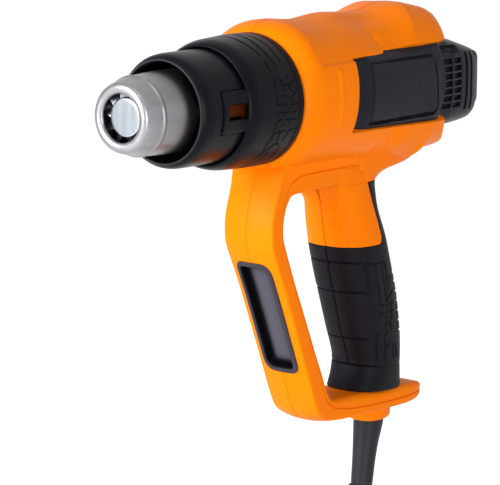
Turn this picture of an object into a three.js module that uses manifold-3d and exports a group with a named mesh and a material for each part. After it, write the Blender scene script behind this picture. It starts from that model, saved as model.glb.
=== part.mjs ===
// Hot air tool: a hand-held electric heat gun with a closed D handle.
// Millimetres. X runs along the barrel from the nozzle lip (0) to the rear cap, +Z is up,
// and the left side of the tool is at -Y. The whole tool is then shifted so that the
// middle of the hand grip is the origin.
import * as THREE from 'three';
import { mergeVertices } from 'three/addons/utils/BufferGeometryUtils.js';
import Module from 'manifold-3d';

const wasm = await Module();
wasm.setup();

// General fits
const GAP = 0.3;
const SEAM = 0.15;
const BIG = 400;

// Largest shift when nearly flat facets are merged
const MESH_TOLERANCE = 0.03;

// Sides of round shapes, and the rounding of the moulded sections (2 is an ellipse)
const ROUND = 24;
const BODY_SIDES = 24;
const HANDLE_SIDES = 20;
const BAR_SIDES = 16;
const HOLE_SIDES = 10;
const BODY_POWER = 2.25;
const HANDLE_POWER = 2.5;
const BAR_POWER = 5;
const FOOT_POWER = 4;

// Steel nozzle
const TUBE_RADIUS = 19.8;
const LIP_RADIUS = TUBE_RADIUS - 3.2;
const MOUTH_RADIUS = LIP_RADIUS - 5.2;
const TUBE_WALL = 0.9;
const BEAD_X = 10.5;
const BEAD_HEIGHT = 0.6;
const TUBE_END = 70;
const FLANGE_RADIUS = TUBE_RADIUS + 2.3;
const DEFLECTOR_RADIUS = MOUTH_RADIUS - 1.7;
const DEFLECTOR_DEPTH = 4.2;
const DEFLECTOR_BLADES = 6;
const BLADE_WIDTH = 3.4;
const BLADE_THICKNESS = 0.8;
const BLADE_ROOT = 2.5;
const BLADE_SETBACK = 2.6;
const BAND_WALL = 1;
const BAND_FRONT = 1.5;
const BAND_REAR = 5;

// Heating element inside the nozzle
const MICA_FRONT = 28;
const MICA_REAR = 86;
const MICA_WALL = 0.5;
const CORE_FRONT = 30;
const CORE_REAR = 84;
const CORE_ARMS = 8;
const CORE_HOLE = 2.5;
const WIRE_RADIUS = 0.5;
const WINDING_TURNS = 7;
const WINDING_PITCH = 6.5;
const HOLDER_THICKNESS = 3;
const HOLDER_HOLE = 4.4;
const HOLDER_HOLE_RING = 12.5;

// Black front guard and the collar behind it
const SNOUT_WALL = 2.3;
const GUARD_FRONT = 29;
const GUARD_WALL = 2.7;
const GUARD_LIP = 0.8;
const COLLAR_FRONT = 59.2;
const COLLAR_DEPTH = 4.7;
const COLLAR_TAPER = 27;
const COLLAR_WALL = 2.8;
const TONGUE_FRONT = 42.2;
const TONGUE_HALF = 10.3;
const TONGUE_WALL = 2.3;
const WINDOW_FRONT = 46.1;
const WINDOW_REAR = 60.8;
const WINDOW_HALF = 3.9;

// Moulded housing
const HOUSING_FRONT = 98.3;
const HOUSING_WALL = 2.6;
const SNOUT_FRONT = 62;
const SNOUT_STEP = 78;
const GUARD_REAR = SNOUT_STEP - 3;
const PANEL_FRONT = 137;
const PANEL_REAR = 216;
const PANEL_HALF = 20.3;
const PANEL_THICKNESS = 2.6;
const PANEL_SCOOP = 0.5;

// Barrel sections: distance behind the housing's front edge, top, bottom, half width
const BODY_SECTIONS = [
  [0, 33.4, 33.4, 33.4],
  [2.2, 35.6, 35.2, 35.4],
  [7, 37.6, 36, 37],
  [15, 38.5, 36.4, 37.8],
  [36, 37.1, 36.8, 37.5],
  [58, 38.9, 38, 37.2],
  [82, 37.8, 40, 36.8],
  [92, 38.8, 42, 36.6],
  [102, 40.9, 44.2, 36.4],
  [111, 41.5, 44.2, 36.2],
  [120, 41, 39, 35.7],
  [134, 39.6, 38.2, 34.8],
  [143, 37, 35.5, 33],
  [149, 31.5, 31, 29.5],
];

// Black rear cap: distance behind the side panels, top, bottom, half width, and the power
// of its rounding, which grows to the boxy rear end
const CAP_SECTIONS = [
  [0, 32.5, 30, 34.4, 2.25],
  [14, 30, 28, 34, 2.6],
  [24, 26.5, 25.5, 33.2, 3.2],
  [37, 20.5, 22.5, 31.4, 4.2],
  [42, 18.5, 21.3, 30.2, 4.4],
  [44.5, 16.8, 19.8, 28.4, 4.4],
];
const CAP_WALL = 2.4;
const GRILLE_ROWS = 7;
const GRILLE_COLUMNS = 2;
const GRILLE_START = 2.7;
const GRILLE_CELL = 9;
const GRILLE_BAR = 1.2;
const GRILLE_PITCH = 3.95;
const GRILLE_HOLE = 2.9;
const GRILLE_Z = -1.5;
const REAR_SLOTS = [-13.5, -7.5, 4.5, 10.5];
const REAR_SLOT_HALF = 12;
const REAR_SLOT_HEIGHT = 3;
const PANEL_SINK = 1;
const PANEL_FRAME_FRONT = 157;
const PANEL_FRAME_REAR = 207;
const PANEL_FRAME_HALF = 14.5;
const PANEL_FRAME_HEIGHT = 1.2;

// Bridge under the barrel that closes the hand gap at the top: x, z outline
const BRIDGE = [
  [104, -30],
  [172, -30],
  [172, -49],
  [154, -50.5],
  [122, -50.5],
  [112, -48],
  [104, -42],
];
const BRIDGE_HALF = 15;
const BRIDGE_TOP_HALF = 19;

// Front guard bar of the D handle: centre x, centre z, half depth
const BAR_PATH = [
  [118, -28, 9],
  [107.5, -45, 7.4],
  [101, -57, 5.9],
  [99.8, -68, 5.6],
  [103.7, -80, 5.7],
  [114.2, -104, 6],
  [132.4, -147, 6.4],
  [138.6, -159, 7.2],
  [150, -167.6, 6.9],
];
const BAR_HALF = 15;

// Foot plate: x, centre z, half height, half width
const FOOT_SECTIONS = [
  [142, -167.8, 6.4, 14.6],
  [160, -168.4, 6.7, 15.2],
  [200, -170, 5.8, 16.8],
  [220, -171, 4.8, 17],
  [228, -171.8, 2.6, 13.6],
];
const BOSS_X = 200.5;
const BOSS_LENGTH = 11.5;
const BOSS_HALF = 10.5;
const BOSS_BOTTOM = -184;
const BOSS_HEIGHT = 12;

// Handle sections from the barrel down to the foot: z, centre x, half depth, half width
const HANDLE_SECTIONS = [
  [-30, 158, 26, 18],
  [-42, 163, 22, 17.4],
  [-50, 168.5, 18.6, 17.3],
  [-57, 172.2, 17.8, 17.5],
  [-68, 175.2, 18.5, 18.6],
  [-80, 179.2, 20, 19.5],
  [-92, 182.8, 20.6, 19.7],
  [-113, 189.4, 21.8, 18.9],
  [-131, 194, 21.2, 17.8],
  [-141, 196.2, 19, 17.6],
  [-150, 197.4, 17, 17.4],
  [-168, 198.5, 17, 15.8],
];
const HANDLE_WALL = 2.6;
const RUBBER_THICKNESS = 2.5;
const GRIP_TOP = -83.5;
// Lower edge of the rubber at GRIP_FRONT; it and the skirt fall away to the rear by this slope
const GRIP_FRONT = 175;
const GRIP_BOTTOM = -147.3;
const GRIP_SLOPE = 0.13;
// How far the rubber zone's outline reaches ahead of and behind GRIP_FRONT, past the handle
const ZONE_AHEAD = 50;
const ZONE_BEHIND = 80;
const SPINE_TOP = -48;
const SPINE_FRONT_TOP = 174.5;
const SPINE_FRONT_BOTTOM = 189.5;
const HORN_HEIGHT = 2.4;

// Flared collar under the rubber: height of the lower edge, extra radius there
const SKIRT_BOTTOM = -160.4;
const SKIRT_FLARE = 4.6;

// Black inlay on the front of the guard bar
const INLAY_TOP = -86;
const INLAY_BOTTOM = -141;
const INLAY_HALF = 10.5;
const INLAY_DEPTH = 2.4;
const INLAY_RIM = 2;

// Fan, motor and air duct
const SHROUD_REAR = 162;
const SHROUD_WALL = 1.6;
const DUCT_CLEARANCE = 1;
const DUCT_NECK_REAR = 112.3;
const DUCT_CONE_FRONT = 126.3;
const FAN_FRONT = 143;
const FAN_CLEARANCE = 1;
const FAN_WIDTH = 14;
const FAN_BLADES = 9;
const MOUNT_THICKNESS = 3;
const MOTOR_RADIUS = 18;
const MOTOR_LENGTH = 48;
const MOTOR_WALL = 1.4;
const SHAFT_RADIUS = 1.6;
const ARMATURE_RADIUS = 12;
const ARMATURE_FRONT = 6;
const ARMATURE_REAR = 8;
const MAGNET_THICKNESS = 3.2;
const MAGNET_EDGE = 8;
const BOARD_THICKNESS = 1.6;
const BOARD_INSET = 2.5;
const DIODE_OUT = 11;
const DIODE_IN = 5;
const DIODE_HALF = 1.3;
const DIODE_HEIGHT = 3;
const DIODE_PLACES = [-7.5, -2.5, 2.5, 7.5];
const CAPACITOR_IN = 4.5;
const CAPACITOR_OUT = 10.5;
const CAPACITOR_HALF = 7;
const CAPACITOR_HEIGHT = 6.3;

// Switch in the back of the handle
const SWITCH_X = 194.2;
const SWITCH_Z = -68.5;
const SWITCH_LEAN = 21.8;
const SWITCH_TRAVEL = 8;
const SLIDER_LENGTH = 9;
const SLIDER_HALF = 3.4;
const BEZEL_HALF_LENGTH = 13;
const BEZEL_HALF = 6.2;
const BEZEL_THICKNESS = 3;
const BEZEL_PROUD = 0.5;
const SWITCH_DEPTH = 18;

// Parts in the lower handle
const TERMINAL_TOP = -133;
const TERMINAL_HEIGHT = 10;
const TERMINAL_DEPTH = 8;
const TERMINAL_HALF = 10;
const CLAMP_TOP = -149;
const CLAMP_HEIGHT = 8;
const CLAMP_HALF = 10.5;
const CLAMP_THICKNESS = 3;
const CLAMP_SCREW_Y = 7.6;

// Mains cord
const CORD_RADIUS = 3.5;
// Strain relief from its flange down to the beaded end: x, z, radius
const BOOT_PATH = [
  [200.6, -173.5, 8.8],
  [200.6, -176, 8.8],
  [200.6, -176.4, 7.6],
  [200.6, -184, 7.6],
  [199.8, -189, 7.3],
  [198.2, -197, 6.45],
  [196.6, -207, 6],
  [194.9, -219.5, 5.75],
  [194.7, -220.6, 5.75],
  [194.6, -221.3, 6.8],
  [194.5, -222, 7.1],
  [194, -225.4, 7.1],
  [193.9, -226.1, 6.6],
];

// Route of the hanging cord from the boot to the coil: x, y, z
const CORD_ROUTE = [
  [193.86, 0, -226.4],
  [193.45, 0, -229.9],
  [193.15, -0.1, -233.5],
  [193, -0.3, -237.5],
  [193.05, -0.7, -241.5],
  [193.53, -1.6, -246.1],
  [195.11, -3, -252],
  [197.69, -4.8, -257.5],
  [201.19, -6.6, -262.5],
  [206.65, -8.9, -269],
  [212.12, -10.5, -275.5],
  [217.58, -11.15, -282],
  [222.86, -11.25, -288.3],
];

// The rest of the cord is put away as a tied coil of seven turns that hangs below the tool
const COIL_X = 193;
const COIL_Z = -323;
const COIL_RADIUS = 38.5;
const COIL_LAYERS = 4;
const COIL_PITCH = 7.5;
const COIL_START = 40;
const COIL_TURNS = 7 + COIL_START / 360;
const COIL_STEPS = 24;
const TIE_HALF = 5;
const TIE_THICKNESS = 1.2;
const TAIL_ROUTE = [
  [238.17, 11.25, -330.3],
  [238.17, 11.25, -335.8],
  [238.17, 11.25, -341.3],
  [238.17, 11.25, -346.8],
  [238.17, 11.25, -352.3],
];
const PLUG_LENGTH = 46;
const PIN_RADIUS = 2.4;
const PIN_LENGTH = 19;
const PIN_SOCKET = 6;
const PIN_SPACING = 19;

// Housing screws, driven in from the right side: x, z, seat of the head
const SCREWS = [
  [100.4, -63, 10.5],
  [137, -161, 10.5],
  [121, 30, 14],
  [190, 31.5, 13],
  [208, -38, 8],
  [217, -170.6, 11],
];
const SCREW_RADIUS = 1.5;
const SCREW_HEAD_RADIUS = 3.2;
const SCREW_HEAD_HEIGHT = 2.2;
const SCREW_REACH = 8;
const BOSS_WALL = 1.5;

// Centre of the hand grip, which becomes the origin
const GRIP_X = 188;
const GRIP_Z = -108;

const COLOURS = {
  orange: [0xff8c0a, 0.42, 0],
  black: [0x23252c, 0.55, 0],
  rubber: [0x1b1c21, 0.8, 0],
  steel: [0xb9b6b4, 0.3, 1],
  plate: [0xd4d7da, 0.35, 1],
  mica: [0xb59a6a, 0.6, 0],
  ceramic: [0xe6e0d2, 0.8, 0],
  wire: [0x8f8a86, 0.45, 1],
  copper: [0xb06a3a, 0.4, 1],
  board: [0x2f5a35, 0.6, 0],
  natural: [0xdcdad2, 0.6, 0],
  magnet: [0x4b4b50, 0.6, 0.4],
};

const X = new THREE.Vector3(1, 0, 0);
const Y = new THREE.Vector3(0, 1, 0);
const Z = new THREE.Vector3(0, 0, 1);

// Turns a closed three.js geometry into a solid that can be joined and cut.
function solid(geometry) {
  const plain = geometry.clone();
  plain.deleteAttribute('normal');
  plain.deleteAttribute('uv');
  const merged = mergeVertices(plain, 1e-4);
  const vertProperties = new Float32Array(merged.attributes.position.array);
  const triVerts = new Uint32Array(merged.index.array);
  return new wasm.Manifold(new wasm.Mesh({ numProp: 3, vertProperties, triVerts }));
}

function toGeometry(shape) {
  const mesh = shape.getMesh();
  const geometry = new THREE.BufferGeometry();
  geometry.setAttribute('position', new THREE.BufferAttribute(new Float32Array(mesh.vertProperties), 3));
  geometry.setIndex(new THREE.BufferAttribute(new Uint32Array(mesh.triVerts), 1));
  geometry.computeVertexNormals();
  return geometry;
}

function join(first, ...others) {
  return others.reduce((sum, other) => sum.add(other), first);
}

function cut(first, ...others) {
  return others.reduce((rest, other) => rest.subtract(other), first);
}

function box(low, high) {
  const geometry = new THREE.BoxGeometry(high[0] - low[0], high[1] - low[1], high[2] - low[2]);
  geometry.translate((low[0] + high[0]) / 2, (low[1] + high[1]) / 2, (low[2] + high[2]) / 2);
  return solid(geometry);
}

// A shape turned round the X axis from [x, radius] points, closed on itself or on the axis.
function turned(profile, segments = ROUND) {
  const points = profile.map(([along, radius]) => new THREE.Vector2(Math.max(radius, 0), along));
  const open = profile[0][1] > 0;
  if (open) points.push(points[0].clone());
  const geometry = new THREE.LatheGeometry(points, segments);
  geometry.rotateZ(-Math.PI / 2);
  return orient(geometry);
}

// A straight tube or rod along X.
function ringX(from, to, outer, inner = 0, segments = ROUND) {
  if (inner > 0) return turned([[from, inner], [from, outer], [to, outer], [to, inner]], segments);
  return turned([[from, 0], [from, outer], [to, outer], [to, 0]], segments);
}

// A rod along Y at (x, z).
function rodY(x, z, from, to, radius, segments = HOLE_SIDES) {
  const geometry = new THREE.CylinderGeometry(radius, radius, to - from, segments);
  geometry.translate(x, (from + to) / 2, z);
  return solid(geometry);
}

// Faces of a closed mesh are turned outwards when its volume comes out negative.
function orient(geometry) {
  const plain = geometry.index ? geometry.toNonIndexed() : geometry;
  const p = plain.attributes.position;
  const a = new THREE.Vector3();
  const b = new THREE.Vector3();
  const c = new THREE.Vector3();
  let volume = 0;
  for (let i = 0; i < p.count; i += 3) {
    a.fromBufferAttribute(p, i);
    b.fromBufferAttribute(p, i + 1);
    c.fromBufferAttribute(p, i + 2);
    volume += a.dot(b.cross(c));
  }
  if (volume < 0) {
    for (let i = 0; i < p.count; i += 3) {
      b.fromBufferAttribute(p, i + 1);
      c.fromBufferAttribute(p, i + 2);
      p.setXYZ(i + 1, c.x, c.y, c.z);
      p.setXYZ(i + 2, b.x, b.y, b.z);
    }
  }
  return solid(plain);
}

// One rounded section: a superellipse about an origin, with its own size on each side.
function section(origin, u, v, sizes, power, count) {
  const [uPlus, uMinus, vPlus, vMinus] = sizes;
  const ring = [];
  for (let i = 0; i < count; i += 1) {
    const angle = (2 * Math.PI * i) / count;
    const c = Math.cos(angle);
    const s = Math.sin(angle);
    const du = (c > 0 ? uPlus : uMinus) * Math.sign(c) * Math.abs(c) ** (2 / power);
    const dv = (s > 0 ? vPlus : vMinus) * Math.sign(s) * Math.abs(s) ** (2 / power);
    ring.push(origin.clone().addScaledVector(u, du).addScaledVector(v, dv));
  }
  return ring;
}

// A solid skinned over equal rings, with a flat fan on each end.
function loft(rings) {
  const positions = [];
  const count = rings[0].length;
  const triangle = (a, b, c) => positions.push(...a.toArray(), ...b.toArray(), ...c.toArray());
  for (let k = 0; k + 1 < rings.length; k += 1) {
    for (let i = 0; i < count; i += 1) {
      const j = (i + 1) % count;
      triangle(rings[k][i], rings[k][j], rings[k + 1][j]);
      triangle(rings[k][i], rings[k + 1][j], rings[k + 1][i]);
    }
  }
  const centre = (ring) => ring.reduce((sum, p) => sum.add(p), new THREE.Vector3()).divideScalar(count);
  const first = centre(rings[0]);
  const last = centre(rings[rings.length - 1]);
  for (let i = 0; i < count; i += 1) {
    const j = (i + 1) % count;
    triangle(first, rings[0][j], rings[0][i]);
    triangle(last, rings[rings.length - 1][i], rings[rings.length - 1][j]);
  }
  const geometry = new THREE.BufferGeometry();
  geometry.setAttribute('position', new THREE.Float32BufferAttribute(positions, 3));
  return orient(geometry);
}

// A prism across Y from an outline of [x, z] points.
function prismY(outline, from, to) {
  const shape = new THREE.Shape(outline.map(([x, z]) => new THREE.Vector2(x, z)));
  const geometry = new THREE.ExtrudeGeometry(shape, { depth: to - from, bevelEnabled: false });
  geometry.rotateX(Math.PI / 2);
  geometry.translate(0, to, 0);
  return orient(geometry);
}

// A round tube skinned over a list of points, with rings square to the path.
function sweep(points, radius, sides) {
  const rings = [];
  let side = new THREE.Vector3(0, 1, 0.01);
  points.forEach((point, i) => {
    const before = points[Math.max(i - 1, 0)];
    const after = points[Math.min(i + 1, points.length - 1)];
    const along = after.clone().sub(before).normalize();
    side = side.clone().addScaledVector(along, -side.dot(along)).normalize();
    const other = along.clone().cross(side);
    const r = Array.isArray(radius) ? radius[i] : radius;
    rings.push(section(point, side, other, [r, r, r, r], 2, sides));
  });
  return loft(rings);
}

const meshes = [];

function add(name, shape, colour) {
  const [hex, roughness, metalness] = COLOURS[colour];
  const material = new THREE.MeshStandardMaterial({ color: hex, roughness, metalness });
  const mesh = new THREE.Mesh(toGeometry(shape.asOriginal().simplify(MESH_TOLERANCE)), material);
  mesh.name = name;
  meshes.push(mesh);
  return mesh;
}

// Steel outlet tube: lip rolled inwards, tapered end, raised bead, straight barrel and flange.
function nozzleTube() {
  const inner = TUBE_RADIUS - TUBE_WALL;
  const shoulder = TUBE_RADIUS - 1.1;
  return turned([
    [1.6, MOUTH_RADIUS],
    [0.4, MOUTH_RADIUS + 1.4],
    [0, (MOUTH_RADIUS + LIP_RADIUS) / 2],
    [0.5, LIP_RADIUS - 0.8],
    [2, LIP_RADIUS + 0.1],
    [BEAD_X - 1.2, shoulder],
    [BEAD_X - 0.4, shoulder + BEAD_HEIGHT],
    [BEAD_X + 0.6, shoulder + BEAD_HEIGHT],
    [MICA_FRONT - GAP * 5, TUBE_RADIUS],
    [TUBE_END, TUBE_RADIUS],
    [TUBE_END, FLANGE_RADIUS],
    [TUBE_END + 1, FLANGE_RADIUS],
    [TUBE_END + 1, inner],
    [MICA_FRONT - GAP * 5, inner],
    [3, LIP_RADIUS - TUBE_WALL],
    [2.6, MOUTH_RADIUS + 0.5],
  ]);
}

// Stamped plate inside the mouth: a round disc carried by twisted blades on a narrow band.
function nozzleDeflector() {
  const front = DEFLECTOR_DEPTH;
  const bandOuter = LIP_RADIUS - TUBE_WALL;
  const bandInner = bandOuter - BAND_WALL;
  let plate = ringX(front, front + 1, DEFLECTOR_RADIUS, 0, 18);
  const band = ringX(front + BAND_FRONT, front + BAND_REAR, bandOuter, bandInner, 20);
  plate = join(plate, ringX(front + 0.5, front + 3, DEFLECTOR_RADIUS - 1.5, 0, 12));
  const blades = [];
  for (let i = 0; i < DEFLECTOR_BLADES; i += 1) {
    const root = DEFLECTOR_RADIUS - BLADE_ROOT;
    const length = bandInner + BAND_WALL / 2 - root;
    const blade = new THREE.BoxGeometry(BLADE_WIDTH, BLADE_THICKNESS, length);
    blade.rotateZ(0.5);
    blade.translate(front + BLADE_SETBACK, 0, root + length / 2);
    blade.rotateX((2 * Math.PI * (i + 0.3)) / DEFLECTOR_BLADES);
    blades.push(solid(blade));
  }
  return join(plate, band, ...blades);
}

const MICA_OUTER = TUBE_RADIUS - TUBE_WALL - GAP;
const MICA_INNER = MICA_OUTER - MICA_WALL;
const WINDING_RADIUS = MICA_INNER - WIRE_RADIUS - 2 * GAP;
const CORE_TIP = WINDING_RADIUS - WIRE_RADIUS - 3 * GAP;

// Star-shaped ceramic former with air channels between its arms.
function heaterCore() {
  const shape = new THREE.Shape();
  const valley = CORE_TIP * 0.55;
  for (let i = 0; i < CORE_ARMS; i += 1) {
    const middle = (2 * Math.PI * i) / CORE_ARMS;
    const halfTip = 0.08;
    const corners = [
      [valley, middle - 0.22],
      [CORE_TIP, middle - halfTip],
      [CORE_TIP, middle + halfTip],
      [valley, middle + 0.22],
    ];
    corners.forEach(([r, a], k) => {
      const x = r * Math.cos(a);
      const y = r * Math.sin(a);
      if (i === 0 && k === 0) shape.moveTo(x, y);
      else shape.lineTo(x, y);
    });
  }
  const hole = new THREE.Path();
  hole.absarc(0, 0, CORE_HOLE, 0, 2 * Math.PI, true);
  shape.holes.push(hole);
  const geometry = new THREE.ExtrudeGeometry(shape, {
    depth: CORE_REAR - CORE_FRONT,
    bevelEnabled: false,
    curveSegments: 3,
  });
  geometry.rotateY(Math.PI / 2);
  geometry.translate(CORE_FRONT, 0, 0);
  return orient(geometry);
}

// Resistance wire: one helix whose corners bend over the tips of the former's arms.
function heaterWinding() {
  const length = WINDING_TURNS * WINDING_PITCH;
  const start = (CORE_FRONT + CORE_REAR - length) / 2;
  const points = [];
  const steps = WINDING_TURNS * CORE_ARMS;
  for (let i = 0; i <= steps; i += 1) {
    const angle = (2 * Math.PI * i) / CORE_ARMS;
    points.push(new THREE.Vector3(
      start + (length * i) / steps,
      WINDING_RADIUS * Math.sin(angle),
      WINDING_RADIUS * Math.cos(angle),
    ));
  }
  return sweep(points, WIRE_RADIUS, 4);
}

// Plate that closes the rear of the heater: seats in the snout and lets the air through.
function heaterHolder() {
  const front = MICA_REAR + GAP;
  const plate = ringX(front, front + HOLDER_THICKNESS, FLANGE_RADIUS);
  const holes = [];
  for (let i = 0; i < 6; i += 1) {
    const angle = (Math.PI * i) / 3;
    const hole = new THREE.CylinderGeometry(HOLDER_HOLE, HOLDER_HOLE, 4 * HOLDER_THICKNESS, 8);
    hole.rotateZ(Math.PI / 2);
    hole.translate(front, HOLDER_HOLE_RING * Math.sin(angle), HOLDER_HOLE_RING * Math.cos(angle));
    holes.push(solid(hole));
  }
  return cut(plate, ...holes);
}

// Radii from the heater outwards: snout, guard and collar lie round one another
const SNOUT_BORE = FLANGE_RADIUS + GAP;
const SNOUT_OUTER = SNOUT_BORE + SNOUT_WALL;
const GUARD_INNER = SNOUT_OUTER + GAP;
const GUARD_MOUTH = GUARD_INNER - GUARD_LIP;
const GUARD_RADIUS = GUARD_INNER + GUARD_WALL;
const TONGUE_OUTER = GUARD_RADIUS + 0.8;
const TONGUE_INNER = TONGUE_OUTER - TONGUE_WALL;
const COLLAR_INNER = GUARD_RADIUS + 2 * GAP;
const COLLAR_RADIUS = COLLAR_INNER + COLLAR_DEPTH;
const SNOUT_STEP_RADIUS = COLLAR_RADIUS - COLLAR_WALL - GAP;

// Both sides of the collar carry a tongue, so everything made for it is made twice.
function onBothSides(make) {
  return join(make(1), make(-1));
}

// Removable sleeve round the hot nozzle, notched at the rear for the two tongues.
function nozzleGuard() {
  const sleeve = turned([
    [GUARD_FRONT, GUARD_MOUTH],
    [GUARD_FRONT + 0.9, GUARD_MOUTH + 0.9],
    [GUARD_FRONT + 2.2, GUARD_RADIUS - 1.2],
    [GUARD_FRONT + 5, GUARD_RADIUS - 0.4],
    [GUARD_REAR, GUARD_RADIUS],
    [GUARD_REAR, GUARD_INNER],
    [GUARD_FRONT + 4, GUARD_INNER],
    [GUARD_FRONT + 2, GUARD_MOUTH],
  ]);
  const half = TONGUE_HALF + GAP;
  const notch = (side) => box(
    [TONGUE_FRONT - GAP, Math.min(0, side * BIG), -half],
    [GUARD_REAR + 1, Math.max(0, side * BIG), half],
  );
  return cut(sleeve, onBothSides(notch));
}

// Rear sleeve that is locked on the housing, with the two windowed tongues.
function collar() {
  const rear = HOUSING_FRONT - GAP;
  const step = SNOUT_STEP - GAP;
  const root = COLLAR_FRONT + 8;
  const sleeve = turned([
    [COLLAR_FRONT, COLLAR_INNER],
    [COLLAR_FRONT - 0.3, COLLAR_INNER + 1],
    [COLLAR_FRONT + 1.5, COLLAR_RADIUS - 2.4],
    [COLLAR_FRONT + 7, COLLAR_RADIUS - 1.2],
    [COLLAR_FRONT + COLLAR_TAPER, COLLAR_RADIUS],
    [rear - 3, COLLAR_RADIUS],
    [rear, COLLAR_RADIUS - 0.4],
    [rear, COLLAR_RADIUS - COLLAR_WALL],
    [step, COLLAR_RADIUS - COLLAR_WALL],
    [step, COLLAR_INNER],
  ]);
  const blade = turned([
    [TONGUE_FRONT, TONGUE_INNER],
    [TONGUE_FRONT, TONGUE_OUTER],
    [COLLAR_FRONT + 1, TONGUE_OUTER],
    [COLLAR_FRONT + 2, TONGUE_OUTER + 1.2],
    [root, TONGUE_OUTER + 1.2],
    [root, TONGUE_INNER],
  ]);
  const tongue = (side) => blade.intersect(box(
    [TONGUE_FRONT, Math.min(0, side * BIG), -TONGUE_HALF],
    [root, Math.max(0, side * BIG), TONGUE_HALF],
  ));
  const window = box([WINDOW_FRONT, -BIG, -WINDOW_HALF], [WINDOW_REAR, BIG, WINDOW_HALF]);
  return cut(join(sleeve, onBothSides(tongue)), window);
}

// Barrel of the housing, shrunk all round by a wall; a coarse one has every second section.
function bodyLoft(shrink, coarse = false) {
  const last = BODY_SECTIONS.length - 1;
  const kept = BODY_SECTIONS.filter((_, i) => !coarse || i === last || i % 2 === 0);
  return loft(kept.map(([along, top, bottom, half]) => section(
    new THREE.Vector3(HOUSING_FRONT + along, 0, 0), Y, Z,
    [half - shrink, half - shrink, top - shrink, bottom - shrink],
    along < 5 ? 2 : BODY_POWER, BODY_SIDES,
  )));
}

function handleLoft(shrink) {
  const rings = HANDLE_SECTIONS.map(([z, x, depth, half]) => section(
    new THREE.Vector3(x, 0, z), X, Y,
    [depth - shrink, depth - shrink, half - shrink, half - shrink], HANDLE_POWER, HANDLE_SIDES,
  ));
  return loft(rings);
}

function barLoft(shrink) {
  const centres = BAR_PATH.map(([x, z]) => new THREE.Vector3(x, 0, z));
  const rings = BAR_PATH.map(([, , depth], i) => {
    const before = centres[Math.max(i - 1, 0)];
    const after = centres[Math.min(i + 1, centres.length - 1)];
    const along = after.clone().sub(before).normalize();
    const across = new THREE.Vector3(-along.z, 0, along.x);
    const d = depth - shrink;
    const h = BAR_HALF - shrink;
    return section(centres[i], across, Y, [d, d, h, h], BAR_POWER, BAR_SIDES);
  });
  return loft(rings);
}

function footLoft() {
  const rings = FOOT_SECTIONS.map(([x, z, height, half]) => section(
    new THREE.Vector3(x, 0, z), Y, Z, [half, half, height, height], FOOT_POWER, BAR_SIDES,
  ));
  return loft(rings);
}

// Ridge under the foot that the cord leaves through.
function footBoss() {
  const top = BOSS_BOTTOM + BOSS_HEIGHT;
  const ring = (z, grow) => section(
    new THREE.Vector3(BOSS_X, 0, z), X, Y,
    [BOSS_LENGTH + grow, BOSS_LENGTH + grow, BOSS_HALF + grow, BOSS_HALF + grow], HANDLE_POWER, HANDLE_SIDES,
  );
  return loft([ring(top, 0.6), ring(BOSS_BOTTOM + 1.5, 0), ring(BOSS_BOTTOM, -1.4)]);
}

function fall(x) {
  return -GRIP_SLOPE * (x - GRIP_FRONT);
}

// Outline of the rubber zone seen from the side: round the grip, and up the back of the handle.
function gripZone(grow, bottom = GRIP_BOTTOM) {
  const front = GRIP_FRONT - ZONE_AHEAD;
  const rear = GRIP_FRONT + ZONE_BEHIND;
  return prismY([
    [SPINE_FRONT_TOP - grow, SPINE_TOP + grow],
    [rear, SPINE_TOP + grow],
    [rear, bottom - grow + fall(rear)],
    [front, bottom - grow + fall(front)],
    [front, GRIP_TOP + grow],
    [SPINE_FRONT_BOTTOM - grow, GRIP_TOP + grow],
  ], -BIG, BIG);
}

function halfSpace(side) {
  return box([-BIG, side > 0 ? SEAM : -BIG, -BIG], [BIG, side > 0 ? BIG : -SEAM, BIG]);
}

// Height of the switch parts above the back of the handle, in a frame that leans with it.
function switchPlace(geometry) {
  geometry.rotateY(THREE.MathUtils.degToRad(-SWITCH_LEAN));
  geometry.translate(SWITCH_X, 0, SWITCH_Z);
  return solid(geometry);
}

function switchBox(low, high) {
  const geometry = new THREE.BoxGeometry(high[0] - low[0], high[1] - low[1], high[2] - low[2]);
  geometry.translate((low[0] + high[0]) / 2, (low[1] + high[1]) / 2, (low[2] + high[2]) / 2);
  return switchPlace(geometry);
}

// Points on the two shells' screw axes: bosses, holes and heads all come from SCREWS.
const HOLE_RADIUS = SCREW_RADIUS + GAP;
const SINK_RADIUS = SCREW_HEAD_RADIUS + GAP;

function screwBosses(side) {
  const radius = side > 0 ? SINK_RADIUS + BOSS_WALL : HOLE_RADIUS + BOSS_WALL;
  const [from, to] = side > 0 ? [SEAM, BIG] : [-BIG, -SEAM];
  return join(...SCREWS.map(([x, z]) => rodY(x, z, from, to, radius)));
}

function screwHoles(side) {
  if (side < 0) return join(...SCREWS.map(([x, z]) => rodY(x, z, -SCREW_REACH - 1, 1, HOLE_RADIUS)));
  const shanks = SCREWS.map(([x, z, seat]) => rodY(x, z, -1, seat + 1, HOLE_RADIUS));
  const sinks = SCREWS.map(([x, z, seat]) => rodY(x, z, seat, BIG, SINK_RADIUS, 12));
  return join(...shanks, ...sinks);
}

function screw(x, z, seat) {
  const shank = rodY(x, z, -SCREW_REACH, seat + 0.5, SCREW_RADIUS, 8);
  const under = seat + GAP;
  const head = rodY(x, z, under, under + SCREW_HEAD_HEIGHT, SCREW_HEAD_RADIUS, 12);
  const slot = box([x - 2, under + 1, z - 0.5], [x + 2, BIG, z + 0.5]);
  return cut(join(shank, head), slot);
}

const HOUSING_REAR = HOUSING_FRONT + BODY_SECTIONS[BODY_SECTIONS.length - 1][0];
const CAP_FRONT = PANEL_REAR + GAP;
const CORE_SHRINK = RUBBER_THICKNESS + GAP;
const CAVITY_SHRINK = CORE_SHRINK + HANDLE_WALL;
const CORD_X = BOOT_PATH[0][0];

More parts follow.
